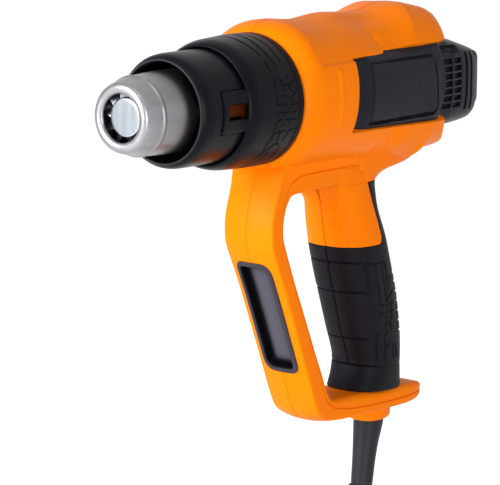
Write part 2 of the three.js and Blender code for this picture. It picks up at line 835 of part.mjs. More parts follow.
// Centre line of the guard bar at a height, between the points of its path.
function barCentreX(z) {
  const k = BAR_PATH.findIndex(([, low]) => low <= z);
  const [x1, z1] = BAR_PATH[k];
  const [x0, z0] = BAR_PATH[k - 1];
  return x0 + ((x1 - x0) * (z - z0)) / (z1 - z0);
}

function inlayZone(inset) {
  const top = INLAY_TOP - inset;
  const bottom = INLAY_BOTTOM + inset;
  const half = INLAY_HALF - inset;
  return prismY([
    [-BIG, top], [barCentreX(top), top], [barCentreX(bottom), bottom], [-BIG, bottom],
  ], -half, half);
}

// Side opening for the panels and the cap: its front edge bulges rearwards in the middle.
function sideOpening(inset, rear = BIG) {
  const half = PANEL_HALF - inset;
  const outline = [[rear, -half], [rear, half]];
  const steps = 8;
  for (let i = 0; i <= steps; i += 1) {
    const z = half - (2 * half * i) / steps;
    outline.push([PANEL_FRONT + inset + PANEL_SCOOP * (1 - (z / half) ** 2), z]);
  }
  return prismY(outline, -BIG, BIG);
}

function capLoft(shrink) {
  const last = CAP_SECTIONS.length - 1;
  return loft(CAP_SECTIONS.map(([along, top, bottom, half, power], i) => {
    const frontReach = i === 0 && shrink !== 0 ? 1 : 0;
    const rearShrink = i === last ? shrink : 0;
    return section(
      new THREE.Vector3(CAP_FRONT + along - frontReach - rearShrink, 0, 0), Y, Z,
      [half - shrink, half - shrink, top - shrink, bottom - shrink], power, BODY_SIDES,
    );
  }));
}

// Latch arms on the snout that show through the collar's windows.
function latchArm(side) {
  const low = SNOUT_BORE + 0.2;
  const high = TONGUE_INNER - 2 * GAP;
  return box(
    [WINDOW_FRONT + 1, side > 0 ? low : -high, -WINDOW_HALF + 1],
    [SNOUT_FRONT + 3, side > 0 ? high : -low, WINDOW_HALF - 1],
  );
}

function snout() {
  return turned([
    [SNOUT_FRONT, SNOUT_BORE],
    [SNOUT_FRONT, SNOUT_OUTER],
    [SNOUT_STEP, SNOUT_OUTER],
    [SNOUT_STEP, SNOUT_STEP_RADIUS],
    [HOUSING_FRONT + 1, SNOUT_STEP_RADIUS],
    [HOUSING_FRONT + 1, SNOUT_BORE],
  ]);
}

// Two posts at the bottom of the handle that the cord clamp is screwed to.
function clampPosts() {
  const front = CORD_X - CORD_RADIUS + 0.5;
  return onBothSides((side) => box(
    [front, side > 0 ? CLAMP_SCREW_Y - 2.6 : -BIG, CLAMP_TOP - CLAMP_HEIGHT - 4],
    [front + 9, side > 0 ? BIG : -CLAMP_SCREW_Y + 2.6, CLAMP_TOP],
  ));
}

function clampScrewHole(side, radius, from, to) {
  const z = CLAMP_TOP - CLAMP_HEIGHT / 2;
  const rod = new THREE.CylinderGeometry(radius, radius, to - from, 10);
  rod.rotateZ(Math.PI / 2);
  rod.translate((from + to) / 2, side * CLAMP_SCREW_Y, z);
  return solid(rod);
}

// Tapered block under the barrel, wider at the top than at the bottom.
function bridge() {
  const tall = prismY(BRIDGE, -BRIDGE_TOP_HALF, BRIDGE_TOP_HALF);
  const lean = loft([
    [-20, BRIDGE_TOP_HALF + 3],
    [-44, BRIDGE_HALF + 1.6],
    [-49, BRIDGE_HALF + 0.6],
    [-51, BRIDGE_HALF - 0.8],
  ].map(([z, half]) => [[90, -half], [190, -half], [190, half], [90, half]]
    .map(([x, y]) => new THREE.Vector3(x, y, z))));
  return tall.intersect(lean);
}

// Outer shape of both shells together, before the hollows.
function housingShape() {
  const handle = cut(handleLoft(0), gripZone(GAP, SKIRT_BOTTOM));
  const core = handleLoft(CORE_SHRINK);
  const bar = cut(barLoft(0), cut(inlayZone(0), barLoft(INLAY_DEPTH)));
  return join(bodyLoft(0), bridge(), handle, core, bar, footLoft(), footBoss());
}

function housingHollow() {
  const wall = box([HOUSING_FRONT + HOUSING_WALL, -BIG, -BIG], [HOUSING_REAR - HOUSING_WALL, BIG, BIG]);
  const barrel = bodyLoft(HOUSING_WALL, true).intersect(wall);
  const bore = ringX(SNOUT_FRONT - 1, HOUSING_FRONT + HOUSING_WALL + 1, SNOUT_BORE);
  const footTop = FOOT_SECTIONS[1][1] + FOOT_SECTIONS[1][2];
  const handle = handleLoft(CAVITY_SHRINK).intersect(box([-BIG, -BIG, footTop], [BIG, BIG, BIG]));
  const barZone = box([-BIG, -BIG, INLAY_BOTTOM - 2], [BIG, BIG, INLAY_TOP + 2]);
  const bar = barLoft(INLAY_DEPTH + 1).intersect(barZone);
  return join(barrel, bore, handle, bar);
}

function cordPassage() {
  const [, flangeTop, flangeRadius] = BOOT_PATH[0];
  const [, neckTop, neckRadius] = BOOT_PATH[2];
  const rod = (top, bottom, radius, sides) => {
    const geometry = new THREE.CylinderGeometry(radius, radius, top - bottom, sides);
    geometry.rotateX(Math.PI / 2);
    geometry.translate(CORD_X, 0, (top + bottom) / 2);
    return solid(geometry);
  };
  return join(
    rod(CLAMP_TOP, flangeTop, CORD_RADIUS + GAP, 12),
    rod(flangeTop + GAP, neckTop, flangeRadius + 2 * GAP, 14),
    rod(neckTop + 1, BOSS_BOTTOM - 2, neckRadius + 2 * GAP, 14),
  );
}

function housingHalf(side, shape, hollow) {
  const bosses = screwBosses(side).intersect(shape);
  const posts = clampPosts().intersect(handleLoft(CORE_SHRINK + 0.5));
  const holes = onBothSides((s) => clampScrewHole(s, 1.6, CORD_X - CORD_RADIUS - 1, CORD_X + 8));
  let shell = cut(shape, hollow);
  shell = join(shell, snout(), onBothSides(latchArm), bosses, cut(posts, holes));
  const switchWindow = switchBox(
    [-SWITCH_DEPTH, -BEZEL_HALF - GAP, -BEZEL_HALF_LENGTH - GAP],
    [8, BEZEL_HALF + GAP, BEZEL_HALF_LENGTH + GAP],
  );
  shell = cut(shell, sideOpening(0), capLoft(-GAP), screwHoles(side), cordPassage(), switchWindow);
  return shell.intersect(halfSpace(side));
}

// Overmoulded rubber: a sleeve round the grip with a spine and a flared horn up the back.
function grip(side) {
  const zone = gripZone(0);
  const horn = handleLoft(-HORN_HEIGHT).intersect(prismY([
    [SPINE_FRONT_TOP - 4, SPINE_TOP], [BIG, SPINE_TOP], [BIG, SPINE_TOP - 2.4],
    [SWITCH_X - 8, SPINE_TOP - 9], [SPINE_FRONT_TOP - 4, SPINE_TOP - 9],
  ], -BIG, BIG));
  let sleeve = join(handleLoft(0), horn).intersect(zone);
  sleeve = cut(sleeve, handleLoft(RUBBER_THICKNESS));
  const opening = switchBox(
    [-SWITCH_DEPTH, -BEZEL_HALF - GAP, -BEZEL_HALF_LENGTH - GAP],
    [8, BEZEL_HALF + GAP, BEZEL_HALF_LENGTH + GAP],
  );
  return cut(sleeve, opening).intersect(halfSpace(side));
}

// Centre x, half depth and half width of the handle at a height.
function handleAt(z) {
  const k = HANDLE_SECTIONS.findIndex(([low]) => low <= z);
  const below = HANDLE_SECTIONS[k];
  const above = HANDLE_SECTIONS[k - 1];
  const t = (z - above[0]) / (below[0] - above[0]);
  return [1, 2, 3].map((i) => above[i] + (below[i] - above[i]) * t);
}

// Flared collar between the rubber and the foot.
function gripSkirt() {
  const ring = (z, grow, shift) => {
    const [x, depth, half] = handleAt(z);
    const wide = half + grow * 0.3;
    const points = section(
      new THREE.Vector3(x + shift, 0, z), X, Y,
      [depth + grow, depth + grow, wide, wide], HANDLE_POWER, HANDLE_SIDES,
    );
    points.forEach((p) => { p.z += fall(p.x); });
    return points;
  };
  const top = GRIP_BOTTOM - GAP;
  const flared = loft([
    ring(top, 0.2, 0),
    ring((top + SKIRT_BOTTOM) / 2, SKIRT_FLARE * 0.45, -1),
    ring(SKIRT_BOTTOM + 1, SKIRT_FLARE, -2.6),
    ring(SKIRT_BOTTOM, SKIRT_FLARE - 0.6, -2.6),
  ]);
  return cut(flared, handleLoft(RUBBER_THICKNESS), footLoft().translate([0, 0, GAP]));
}

function inlay() {
  const plate = cut(barLoft(-0.4), barLoft(INLAY_DEPTH - GAP)).intersect(inlayZone(GAP));
  const tray = cut(barLoft(-1), barLoft(INLAY_DEPTH - 1.3)).intersect(inlayZone(GAP + INLAY_RIM));
  return cut(plate, tray);
}

function sidePanel(side) {
  const base = cut(bodyLoft(PANEL_SINK), bodyLoft(PANEL_SINK + PANEL_THICKNESS));
  const raised = cut(bodyLoft(PANEL_SINK - PANEL_FRAME_HEIGHT), bodyLoft(PANEL_SINK + 1));
  const frame = box(
    [PANEL_FRAME_FRONT, -BIG, -PANEL_FRAME_HALF],
    [PANEL_FRAME_REAR, BIG, PANEL_FRAME_HALF],
  );
  const plate = join(base.intersect(sideOpening(GAP, PANEL_REAR)), raised.intersect(frame));
  return plate.intersect(halfSpace(side));
}

// Cup-shaped rear cap with an air grille on both sides and slots in the flat rear wall.
function rearCap() {
  const last = CAP_SECTIONS[CAP_SECTIONS.length - 1][0];
  const cup = cut(capLoft(0), capLoft(CAP_WALL));
  const holes = [];
  for (let row = 0; row < GRILLE_ROWS; row += 1) {
    const z = GRILLE_Z + (row - (GRILLE_ROWS - 1) / 2) * GRILLE_PITCH;
    for (let column = 0; column < GRILLE_COLUMNS; column += 1) {
      const x = CAP_FRONT + GRILLE_START + column * (GRILLE_CELL + GRILLE_BAR);
      holes.push(box([x, -BIG, z - GRILLE_HOLE / 2], [x + GRILLE_CELL, BIG, z + GRILLE_HOLE / 2]));
    }
  }
  for (const z of REAR_SLOTS) {
    holes.push(box(
      [CAP_FRONT + last - CAP_WALL - 2, -REAR_SLOT_HALF, z - REAR_SLOT_HEIGHT / 2],
      [BIG, REAR_SLOT_HALF, z + REAR_SLOT_HEIGHT / 2],
    ));
  }
  return cut(cup, ...holes);
}

// Duct and fan fill the room between the two side panels.
const PANEL_ROOM = BODY_SECTIONS[5][3] - PANEL_SINK - PANEL_THICKNESS;
const SHROUD_RADIUS = PANEL_ROOM - DUCT_CLEARANCE;
const FAN_RADIUS = SHROUD_RADIUS - SHROUD_WALL - FAN_CLEARANCE;

// Air duct that leads from round the fan down to the heater.
function fanShroud() {
  const front = MICA_REAR + 2 * GAP + HOLDER_THICKNESS;
  const neck = FLANGE_RADIUS;
  const wall = SHROUD_WALL;
  return turned([
    [front, neck], [DUCT_NECK_REAR, neck], [DUCT_CONE_FRONT, neck + 1.2],
    [FAN_FRONT - 6, SHROUD_RADIUS - 0.8], [FAN_FRONT - 4, SHROUD_RADIUS],
    [SHROUD_REAR, SHROUD_RADIUS], [SHROUD_REAR, SHROUD_RADIUS - wall],
    [FAN_FRONT - 4 + wall, SHROUD_RADIUS - wall], [DUCT_CONE_FRONT + 1, neck - wall],
    [front, neck - wall],
  ]);
}

function fanImpeller() {
  const rear = FAN_FRONT + FAN_WIDTH;
  const hub = ringX(FAN_FRONT, rear + 2, 6, SHAFT_RADIUS + GAP, 14);
  const plate = ringX(rear - 1.4, rear, FAN_RADIUS, 5);
  const blades = [];
  for (let i = 0; i < FAN_BLADES; i += 1) {
    const length = FAN_RADIUS - 1 - 5;
    const blade = new THREE.BoxGeometry(FAN_WIDTH - 1, 1.2, length);
    blade.translate(0, 0, length / 2);
    blade.rotateX(0.5);
    blade.translate(FAN_FRONT + (FAN_WIDTH - 1) / 2 + 0.2, 0, 5);
    blade.rotateX((2 * Math.PI * i) / FAN_BLADES);
    blades.push(solid(blade));
  }
  const limit = ringX(FAN_FRONT, rear, FAN_RADIUS, 4);
  return join(hub, plate, join(...blades).intersect(limit));
}

const MOUNT_FRONT = SHROUD_REAR + GAP;
const MOTOR_FRONT = MOUNT_FRONT + MOUNT_THICKNESS + GAP;
const MOTOR_REAR = MOTOR_FRONT + MOTOR_LENGTH;

// Spider that carries the motor on the duct and lets the air past.
function motorMount() {
  const plate = ringX(MOUNT_FRONT, MOUNT_FRONT + MOUNT_THICKNESS, SHROUD_RADIUS, 6);
  const windows = [];
  const spokes = 4;
  for (let i = 0; i < spokes; i += 1) {
    const from = (2 * Math.PI * (i + 0.09)) / spokes;
    const to = (2 * Math.PI * (i + 0.91)) / spokes;
    const shape = new THREE.Shape();
    shape.absarc(0, 0, SHROUD_RADIUS - 3.2, from, to, false);
    shape.absarc(0, 0, MOTOR_RADIUS + 1.5, to, from, true);
    const geometry = new THREE.ExtrudeGeometry(shape, { depth: 10, bevelEnabled: false, curveSegments: 3 });
    geometry.rotateY(Math.PI / 2);
    geometry.translate(MOUNT_FRONT - 3, 0, 0);
    windows.push(orient(geometry));
  }
  return cut(plate, ...windows);
}

function motorCan() {
  const bore = SHAFT_RADIUS + GAP;
  const inner = MOTOR_RADIUS - MOTOR_WALL;
  return turned([
    [MOTOR_FRONT, bore], [MOTOR_FRONT, MOTOR_RADIUS - 1], [MOTOR_FRONT + 1, MOTOR_RADIUS],
    [MOTOR_REAR, MOTOR_RADIUS], [MOTOR_REAR, bore], [MOTOR_REAR - 2, bore],
    [MOTOR_REAR - 2, inner], [MOTOR_FRONT + 2, inner], [MOTOR_FRONT + 2, bore],
  ], 24);
}

function motorRotor() {
  const front = MOTOR_FRONT + ARMATURE_FRONT;
  const rear = MOTOR_REAR - ARMATURE_REAR;
  return turned([
    [FAN_FRONT - 3, 0], [FAN_FRONT - 3, SHAFT_RADIUS], [front, SHAFT_RADIUS], [front, ARMATURE_RADIUS],
    [rear, ARMATURE_RADIUS], [rear, SHAFT_RADIUS + 3], [MOTOR_REAR - 3, SHAFT_RADIUS + 3],
    [MOTOR_REAR - 3, SHAFT_RADIUS], [MOTOR_REAR + 4, SHAFT_RADIUS], [MOTOR_REAR + 4, 0],
  ], 20);
}

function magnet(side) {
  const outer = MOTOR_RADIUS - MOTOR_WALL - GAP;
  const front = MOTOR_FRONT + ARMATURE_FRONT;
  const ring = ringX(front, MOTOR_REAR - ARMATURE_REAR, outer, outer - MAGNET_THICKNESS, 24);
  const [from, to] = side > 0 ? [MAGNET_EDGE, BIG] : [-BIG, -MAGNET_EDGE];
  return ring.intersect(box([0, from, -BIG], [BIG, to, BIG]));
}

// Round board on the motor's rear end, with four diodes and a capacitor.
function rectifierBoard() {
  const front = MOTOR_REAR + GAP;
  const face = front + BOARD_THICKNESS;
  const board = ringX(front, face, MOTOR_RADIUS - BOARD_INSET, SHAFT_RADIUS + 2, 24);
  const sunk = face - BOARD_THICKNESS / 4;
  const diode = (z) => box(
    [sunk, -DIODE_OUT, z - DIODE_HALF], [sunk + DIODE_HEIGHT, -DIODE_IN, z + DIODE_HALF],
  );
  const diodes = DIODE_PLACES.map(diode);
  const capacitor = box(
    [sunk, CAPACITOR_IN, -CAPACITOR_HALF], [sunk + CAPACITOR_HEIGHT, CAPACITOR_OUT, CAPACITOR_HALF],
  );
  return join(board, ...diodes, capacitor);
}

function switchBody() {
  return switchBox([-SWITCH_DEPTH, -BEZEL_HALF + 0.4, -BEZEL_HALF_LENGTH + 0.6],
    [-BEZEL_THICKNESS - GAP, BEZEL_HALF - 0.4, BEZEL_HALF_LENGTH - 0.6]);
}

const SLIDER_BOTTOM = -SLIDER_LENGTH / 2 - SWITCH_TRAVEL / 2;

function switchBezel() {
  const plate = switchBox([-BEZEL_THICKNESS, -BEZEL_HALF, -BEZEL_HALF_LENGTH],
    [BEZEL_PROUD, BEZEL_HALF, BEZEL_HALF_LENGTH]);
  const slot = switchBox([-BEZEL_THICKNESS - 1, -SLIDER_HALF - GAP, SLIDER_BOTTOM - GAP],
    [BEZEL_PROUD + 1, SLIDER_HALF + GAP, -SLIDER_BOTTOM + GAP]);
  return cut(plate, slot);
}

function switchSlider() {
  const block = switchBox([-BEZEL_THICKNESS, -SLIDER_HALF, SLIDER_BOTTOM],
    [BEZEL_PROUD + 1.2, SLIDER_HALF, SLIDER_BOTTOM + SLIDER_LENGTH]);
  const ribs = [];
  for (let i = 0; i < 3; i += 1) {
    const z = SLIDER_BOTTOM + SLIDER_LENGTH * (0.2 + 0.3 * i);
    ribs.push(switchBox([BEZEL_PROUD, -SLIDER_HALF, z - 0.6], [BEZEL_PROUD + 2, SLIDER_HALF, z + 0.6]));
  }
  return join(block, ...ribs);
}

function terminalBlock() {
  const front = CORD_X - TERMINAL_DEPTH / 2;
  const block = box([front, -TERMINAL_HALF, TERMINAL_TOP - TERMINAL_HEIGHT],
    [front + TERMINAL_DEPTH, TERMINAL_HALF, TERMINAL_TOP]);
  const wells = [-6, 0, 6].map((y) => {
    const well = new THREE.CylinderGeometry(1.8, 1.8, 4, 10);
    well.rotateZ(Math.PI / 2);
    well.translate(front, y, TERMINAL_TOP - TERMINAL_HEIGHT / 2);
    return solid(well);
  });
  return cut(block, ...wells);
}

function cordClamp() {
  const rear = CORD_X - CORD_RADIUS - GAP;
  const bar = box(
    [rear - CLAMP_THICKNESS, -CLAMP_HALF, CLAMP_TOP - CLAMP_HEIGHT],
    [rear, CLAMP_HALF, CLAMP_TOP],
  );
  const hole = (side) => clampScrewHole(side, 1.6, rear - CLAMP_THICKNESS - 1, rear + 1);
  return cut(bar, onBothSides(hole));
}

function clampScrew(side) {
  const front = CORD_X - CORD_RADIUS - GAP - CLAMP_THICKNESS;
  const shank = clampScrewHole(side, 1.3, front - 1, CORD_X + 5);
  return join(shank, clampScrewHole(side, 2.6, front - GAP - 2, front - GAP));
}

function cordInner() {
  const top = TERMINAL_TOP - TERMINAL_HEIGHT - GAP;
  const bottom = BOOT_PATH[0][1] + GAP;
  const rod = new THREE.CylinderGeometry(CORD_RADIUS, CORD_RADIUS, top - bottom, 12);
  rod.rotateX(Math.PI / 2);
  rod.translate(CORD_X, 0, (top + bottom) / 2);
  return solid(rod);
}

function cordBoot() {
  const points = BOOT_PATH.map(([x, z]) => new THREE.Vector3(x, 0, z));
  return sweep(points, BOOT_PATH.map(([, , r]) => r), 14);
}

// A free stretch of cord along hand-set points.
function cordStretch(route, steps) {
  const shape = new THREE.Shape();
  shape.absarc(0, 0, CORD_RADIUS, 0, 2 * Math.PI, false);
  const path = new THREE.CatmullRomCurve3(route.map((p) => new THREE.Vector3(...p)));
  const geometry = new THREE.ExtrudeGeometry(shape, { steps, extrudePath: path, curveSegments: 5 });
  return orient(geometry);
}

// Centre line of the coil: each layer spirals in or out, and the cord climbs to the next
// layer within the half turn where the spiral reverses. Both ends run straight for 7 mm.
function coilPoints() {
  const perLayer = COIL_TURNS / COIL_LAYERS;
  const spread = perLayer * COIL_PITCH;
  const steps = Math.round(COIL_TURNS * COIL_STEPS);
  const points = [];
  for (let i = 0; i <= steps; i += 1) {
    const turn = (COIL_TURNS * i) / steps;
    const layer = Math.min(Math.floor(turn / perLayer), COIL_LAYERS - 1);
    const within = turn / perLayer - layer;
    const inward = layer % 2 === 0 ? within : 1 - within;
    const radius = COIL_RADIUS + spread * (0.5 - inward);
    let height = 0;
    for (let k = 1; k < COIL_LAYERS; k += 1) {
      const t = Math.min(Math.max((turn - k * perLayer) / 0.5 + 0.5, 0), 1);
      height += t * t * (3 - 2 * t);
    }
    const angle = THREE.MathUtils.degToRad(COIL_START) - 2 * Math.PI * turn;
    points.push(new THREE.Vector3(
      COIL_X + radius * Math.cos(angle),
      (height - (COIL_LAYERS - 1) / 2) * COIL_PITCH,
      COIL_Z + radius * Math.sin(angle),
    ));
  }
  const start = THREE.MathUtils.degToRad(COIL_START);
  const lead = new THREE.Vector3(-Math.sin(start), 0, Math.cos(start)).multiplyScalar(2 * CORD_RADIUS);
  points.unshift(points[0].clone().add(lead));
  points.push(points[points.length - 1].clone().add(new THREE.Vector3(0, 0, -2 * CORD_RADIUS)));
  return points;
}

function reportCoil(points) {
  let length = 0;
  let gap = Infinity;
  for (let i = 0; i + 1 < points.length; i += 1) length += points[i].distanceTo(points[i + 1]);
  for (let i = 0; i < points.length; i += 1) {
    for (let j = i + COIL_STEPS / 2; j < points.length; j += 1) {
      gap = Math.min(gap, points[i].distanceTo(points[j]) - 2 * CORD_RADIUS);
    }
  }
  console.log(`coil: ${length.toFixed(0)} mm of cord, least gap to itself ${gap.toFixed(2)} mm`);
}

function coilTie() {
  const spread = (COIL_TURNS / COIL_LAYERS) * COIL_PITCH;
  const high = COIL_Z + COIL_RADIUS + spread / 2 + CORD_RADIUS + 2 * GAP;
  const low = COIL_Z + COIL_RADIUS - spread / 2 - CORD_RADIUS - 4 * GAP;
  const half = ((COIL_LAYERS - 1) / 2) * COIL_PITCH + CORD_RADIUS + 2 * GAP;
  const t = TIE_THICKNESS;
  const outer = box([COIL_X - TIE_HALF, -half - t, low - t], [COIL_X + TIE_HALF, half + t, high + t]);
  return cut(outer, box([COIL_X - BIG, -half, low], [COIL_X + BIG, half, high]));
}

const [PLUG_X, PLUG_Y, TAIL_END] = TAIL_ROUTE[TAIL_ROUTE.length - 1];
const PLUG_TOP = TAIL_END - GAP;

// Moulded two-pin plug, hanging pins down: depth below its top, half width, half thickness
const PLUG_SECTIONS = [
  [0, 4.4, 4.4],
  [12, 5.6, 5.6],
  [17, 8, 7],
  [24, 14, 10.5],
  [31, 17.5, 12.5],
  [PLUG_LENGTH - 1.5, 17.8, 13],
  [PLUG_LENGTH, 16.8, 12],
];

function pinRod(side, radius, top, bottom) {
  const rod = new THREE.CylinderGeometry(radius, radius, top - bottom, 14);
  rod.rotateX(Math.PI / 2);
  rod.translate(PLUG_X, PLUG_Y + (side * PIN_SPACING) / 2, (top + bottom) / 2);
  return solid(rod);
}

function plugBody() {
  const body = loft(PLUG_SECTIONS.map(([down, half, thick]) => section(
    new THREE.Vector3(PLUG_X, PLUG_Y, PLUG_TOP - down), Y, X,
    [half, half, thick, thick], HANDLE_POWER, HANDLE_SIDES,
  )));
  const face = PLUG_TOP - PLUG_LENGTH;
  return cut(body, onBothSides((side) => pinRod(side, PIN_RADIUS + GAP, face + PIN_SOCKET, face - 1)));
}

function plugPin(side) {
  const face = PLUG_TOP - PLUG_LENGTH;
  return pinRod(side, PIN_RADIUS, face + PIN_SOCKET - GAP, face - PIN_LENGTH);
}

add('nozzle_tube', nozzleTube(), 'steel');
add('nozzle_deflector', nozzleDeflector(), 'plate');
add('mica_sleeve', ringX(MICA_FRONT, MICA_REAR, MICA_OUTER, MICA_INNER, 32), 'mica');
add('heater_core', heaterCore(), 'ceramic');
add('heater_winding', heaterWinding(), 'wire');
add('heater_holder', heaterHolder(), 'steel');
add('nozzle_guard', nozzleGuard(), 'black');
add('collar', collar(), 'black');
const shape = housingShape();
const hollow = housingHollow();
add('housing_left', housingHalf(-1, shape, hollow), 'orange');
add('housing_right', housingHalf(1, shape, hollow), 'orange');
add('grip_left', grip(-1), 'rubber');
add('grip_right', grip(1), 'rubber');
add('grip_skirt', gripSkirt(), 'black');
add('bar_inlay', inlay(), 'black');
add('side_panel_left', sidePanel(-1), 'black');
add('side_panel_right', sidePanel(1), 'black');
add('rear_cap', rearCap(), 'black');
add('fan_shroud', fanShroud(), 'natural');
add('fan_impeller', fanImpeller(), 'black');
add('motor_mount', motorMount(), 'natural');
add('motor_can', motorCan(), 'steel');
add('motor_rotor', motorRotor(), 'copper');
add('motor_magnet_left', magnet(-1), 'magnet');
add('motor_magnet_right', magnet(1), 'magnet');
add('rectifier_board', rectifierBoard(), 'board');
add('switch_body', switchBody(), 'black');
add('switch_bezel', switchBezel(), 'black');
add('switch_slider', switchSlider(), 'orange');
add('terminal_block', terminalBlock(), 'natural');
add('cord_clamp', cordClamp(), 'natural');
add('clamp_screw_left', clampScrew(-1), 'steel');
add('clamp_screw_right', clampScrew(1), 'steel');
SCREWS.forEach(([x, z, seat], i) => add(`housing_screw_${i + 1}`, screw(x, z, seat), 'steel'));
add('cord_inner', cordInner(), 'rubber');
add('cord_boot', cordBoot(), 'rubber');
add('cord_lead', cordStretch(CORD_ROUTE, 12), 'rubber');
const coil = coilPoints();
reportCoil(coil);
add('cord_coil', sweep(coil, CORD_RADIUS, 6), 'rubber');
add('coil_tie', coilTie(), 'black');
add('cord_tail', cordStretch(TAIL_ROUTE, 2), 'rubber');
add('plug_body', plugBody(), 'rubber');
add('plug_pin_left', plugPin(-1), 'steel');
add('plug_pin_right', plugPin(1), 'steel');

const tool = new THREE.Group();
tool.position.set(-GRIP_X, 0, -GRIP_Z);
tool.add(...meshes);
const part = new THREE.Group();
part.add(tool);

export default part;
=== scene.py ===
from math import cos, pi, radians, sin

import bpy
import numpy as np
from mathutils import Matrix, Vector


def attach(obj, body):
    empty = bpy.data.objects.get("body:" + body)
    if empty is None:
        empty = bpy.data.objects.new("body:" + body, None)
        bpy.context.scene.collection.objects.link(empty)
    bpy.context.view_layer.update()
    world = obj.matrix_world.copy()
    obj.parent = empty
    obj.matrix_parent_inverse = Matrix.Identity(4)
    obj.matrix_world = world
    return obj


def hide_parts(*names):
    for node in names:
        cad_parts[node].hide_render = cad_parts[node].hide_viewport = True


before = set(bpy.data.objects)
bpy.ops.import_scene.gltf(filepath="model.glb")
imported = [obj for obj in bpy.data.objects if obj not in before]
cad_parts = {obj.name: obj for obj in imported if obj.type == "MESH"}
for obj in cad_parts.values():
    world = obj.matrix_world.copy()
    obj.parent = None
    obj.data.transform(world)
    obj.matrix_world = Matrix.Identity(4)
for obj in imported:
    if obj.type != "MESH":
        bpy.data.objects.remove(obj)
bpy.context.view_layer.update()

# Camera. A long lens looks at the front left of the tool from a little above, with the
# barrel pointing to the left and towards the viewer. No depth of field and no shift.
VIEW_ANGLE = radians(-51.5)
VIEW_RISE = radians(10.63)
VIEW_DISTANCE = 1.1004
VIEW_POINT = Vector((-0.09127, 0.0, 0.03581))
LENS_MM = 158.4

lens = bpy.data.cameras.new("camera")
lens.lens = LENS_MM
lens.sensor_width = 36.0
lens.clip_end = 20.0
camera = bpy.data.objects.new("camera", lens)
bpy.context.scene.collection.objects.link(camera)
towards_camera = Vector((
    sin(VIEW_ANGLE) * cos(VIEW_RISE), -cos(VIEW_ANGLE) * cos(VIEW_RISE), sin(VIEW_RISE)))
camera.location = VIEW_POINT + VIEW_DISTANCE * towards_camera
camera.rotation_mode = "QUATERNION"
camera.rotation_quaternion = (-towards_camera).to_track_quat("-Z", "Y")
bpy.context.scene.camera = camera

# Mains cord: a smooth 7 mm black rubber lead. It leaves the strain relief, swings over to
# a tied coil of seven turns in four layers, and a short tail hangs from that to the plug.
CORD_RADIUS = 3.5
CORD_ROUTE = [  # x, y, z
    (193.86, 0, -226.4), (193.45, 0, -229.9), (193.15, -0.1, -233.5), (193, -0.3, -237.5),
    (193.05, -0.7, -241.5), (193.53, -1.6, -246.1), (195.11, -3, -252),
    (197.69, -4.8, -257.5), (201.19, -6.6, -262.5), (206.65, -8.9, -269),
    (212.12, -10.5, -275.5), (217.58, -11.15, -282), (222.86, -11.25, -288.3)]
COIL_X, COIL_Z = 193.0, -323.0
COIL_RADIUS = 38.5
COIL_LAYERS = 4
COIL_PITCH = 7.5
COIL_START = 40.0
COIL_TURNS = 7 + COIL_START / 360
COIL_POINTS = 40  # points of the centre line in each turn
CLIMB = 0.5  # share of a turn in which the cord climbs to the next layer
LEAD_IN = 7.0  # straight run before the first turn and after the last
FINE_STEPS = 12  # points worked out on a smooth line for each one that is kept
TAIL_ROUTE = [(238.17, 11.25, -337.0), (238.17, 11.25, -344.6), (238.17, 11.25, -352.2)]


def at(x, y, z):
    """Millimetres, x behind the nozzle lip, y to the right and z above the barrel axis, to
    metres from the middle of the grip: shift by the grip's place, divide by a thousand."""
    x, y, z = np.broadcast_arrays(x, y, z)
    return np.stack([(x - 188.0) / 1000, y / 1000, (z + 108.0) / 1000], -1)


def line_through(points, count):
    """Smooth line through points: between two of them each coordinate is a cubic whose slope
    at a point is half the step between its neighbours. Then spaced evenly by length."""
    p = np.asarray(points, float)
    p = np.vstack([2 * p[0] - p[1], p, 2 * p[-1] - p[-2]])
    t = np.linspace(0, len(p) - 3, FINE_STEPS * count)
    k = np.minimum(t.astype(int), len(p) - 4)
    f = (t - k)[:, None]
    a, b, c, d = p[k], p[k + 1], p[k + 2], p[k + 3]
    q = 0.5 * (2 * b + (c - a) * f + (2 * a - 5 * b + 4 * c - d) * f ** 2
               + (3 * b - 3 * c + d - a) * f ** 3)
    run = np.concatenate([[0], np.cumsum(np.linalg.norm(np.diff(q, axis=0), axis=1))])
    even = np.linspace(0, run[-1], count)
    return np.stack([np.interp(even, run, q[:, i]) for i in range(q.shape[1])], -1)


def ease(t):
    """Smooth step from nothing to one as t goes from nothing to one."""
    return t * t * (3 - 2 * t)


def coil_line():
    """Centre line of the coil. Turn runs from 0 to the number of turns; the angle falls by a
    full circle per turn, the radius runs in and out by one pitch per turn from layer to
    layer, and the cord climbs one pitch by a smooth step at each change of layer."""
    per_layer = COIL_TURNS / COIL_LAYERS
    turn = np.linspace(0, COIL_TURNS, int(COIL_TURNS * COIL_POINTS))
    layer = np.minimum(np.floor(turn / per_layer), COIL_LAYERS - 1)
    within = turn / per_layer - layer
    inward = np.where(layer % 2 == 0, within, 1 - within)
    radius = COIL_RADIUS + per_layer * COIL_PITCH * (0.5 - inward)
    change = np.arange(1, COIL_LAYERS)[:, None] * per_layer
    step = np.clip((turn - change) / CLIMB + 0.5, 0, 1)
    height = ease(step).sum(0)
    angle = np.radians(COIL_START) - 2 * pi * turn
    line = np.stack([COIL_X + radius * np.cos(angle),
                     (height - (COIL_LAYERS - 1) / 2) * COIL_PITCH,
                     COIL_Z + radius * np.sin(angle)], -1)
    start = np.radians(COIL_START)
    lead = line[0] + LEAD_IN * np.array([-sin(start), 0, cos(start)])
    return np.vstack([lead, line, line[-1] - np.array([0, 0, LEAD_IN])])


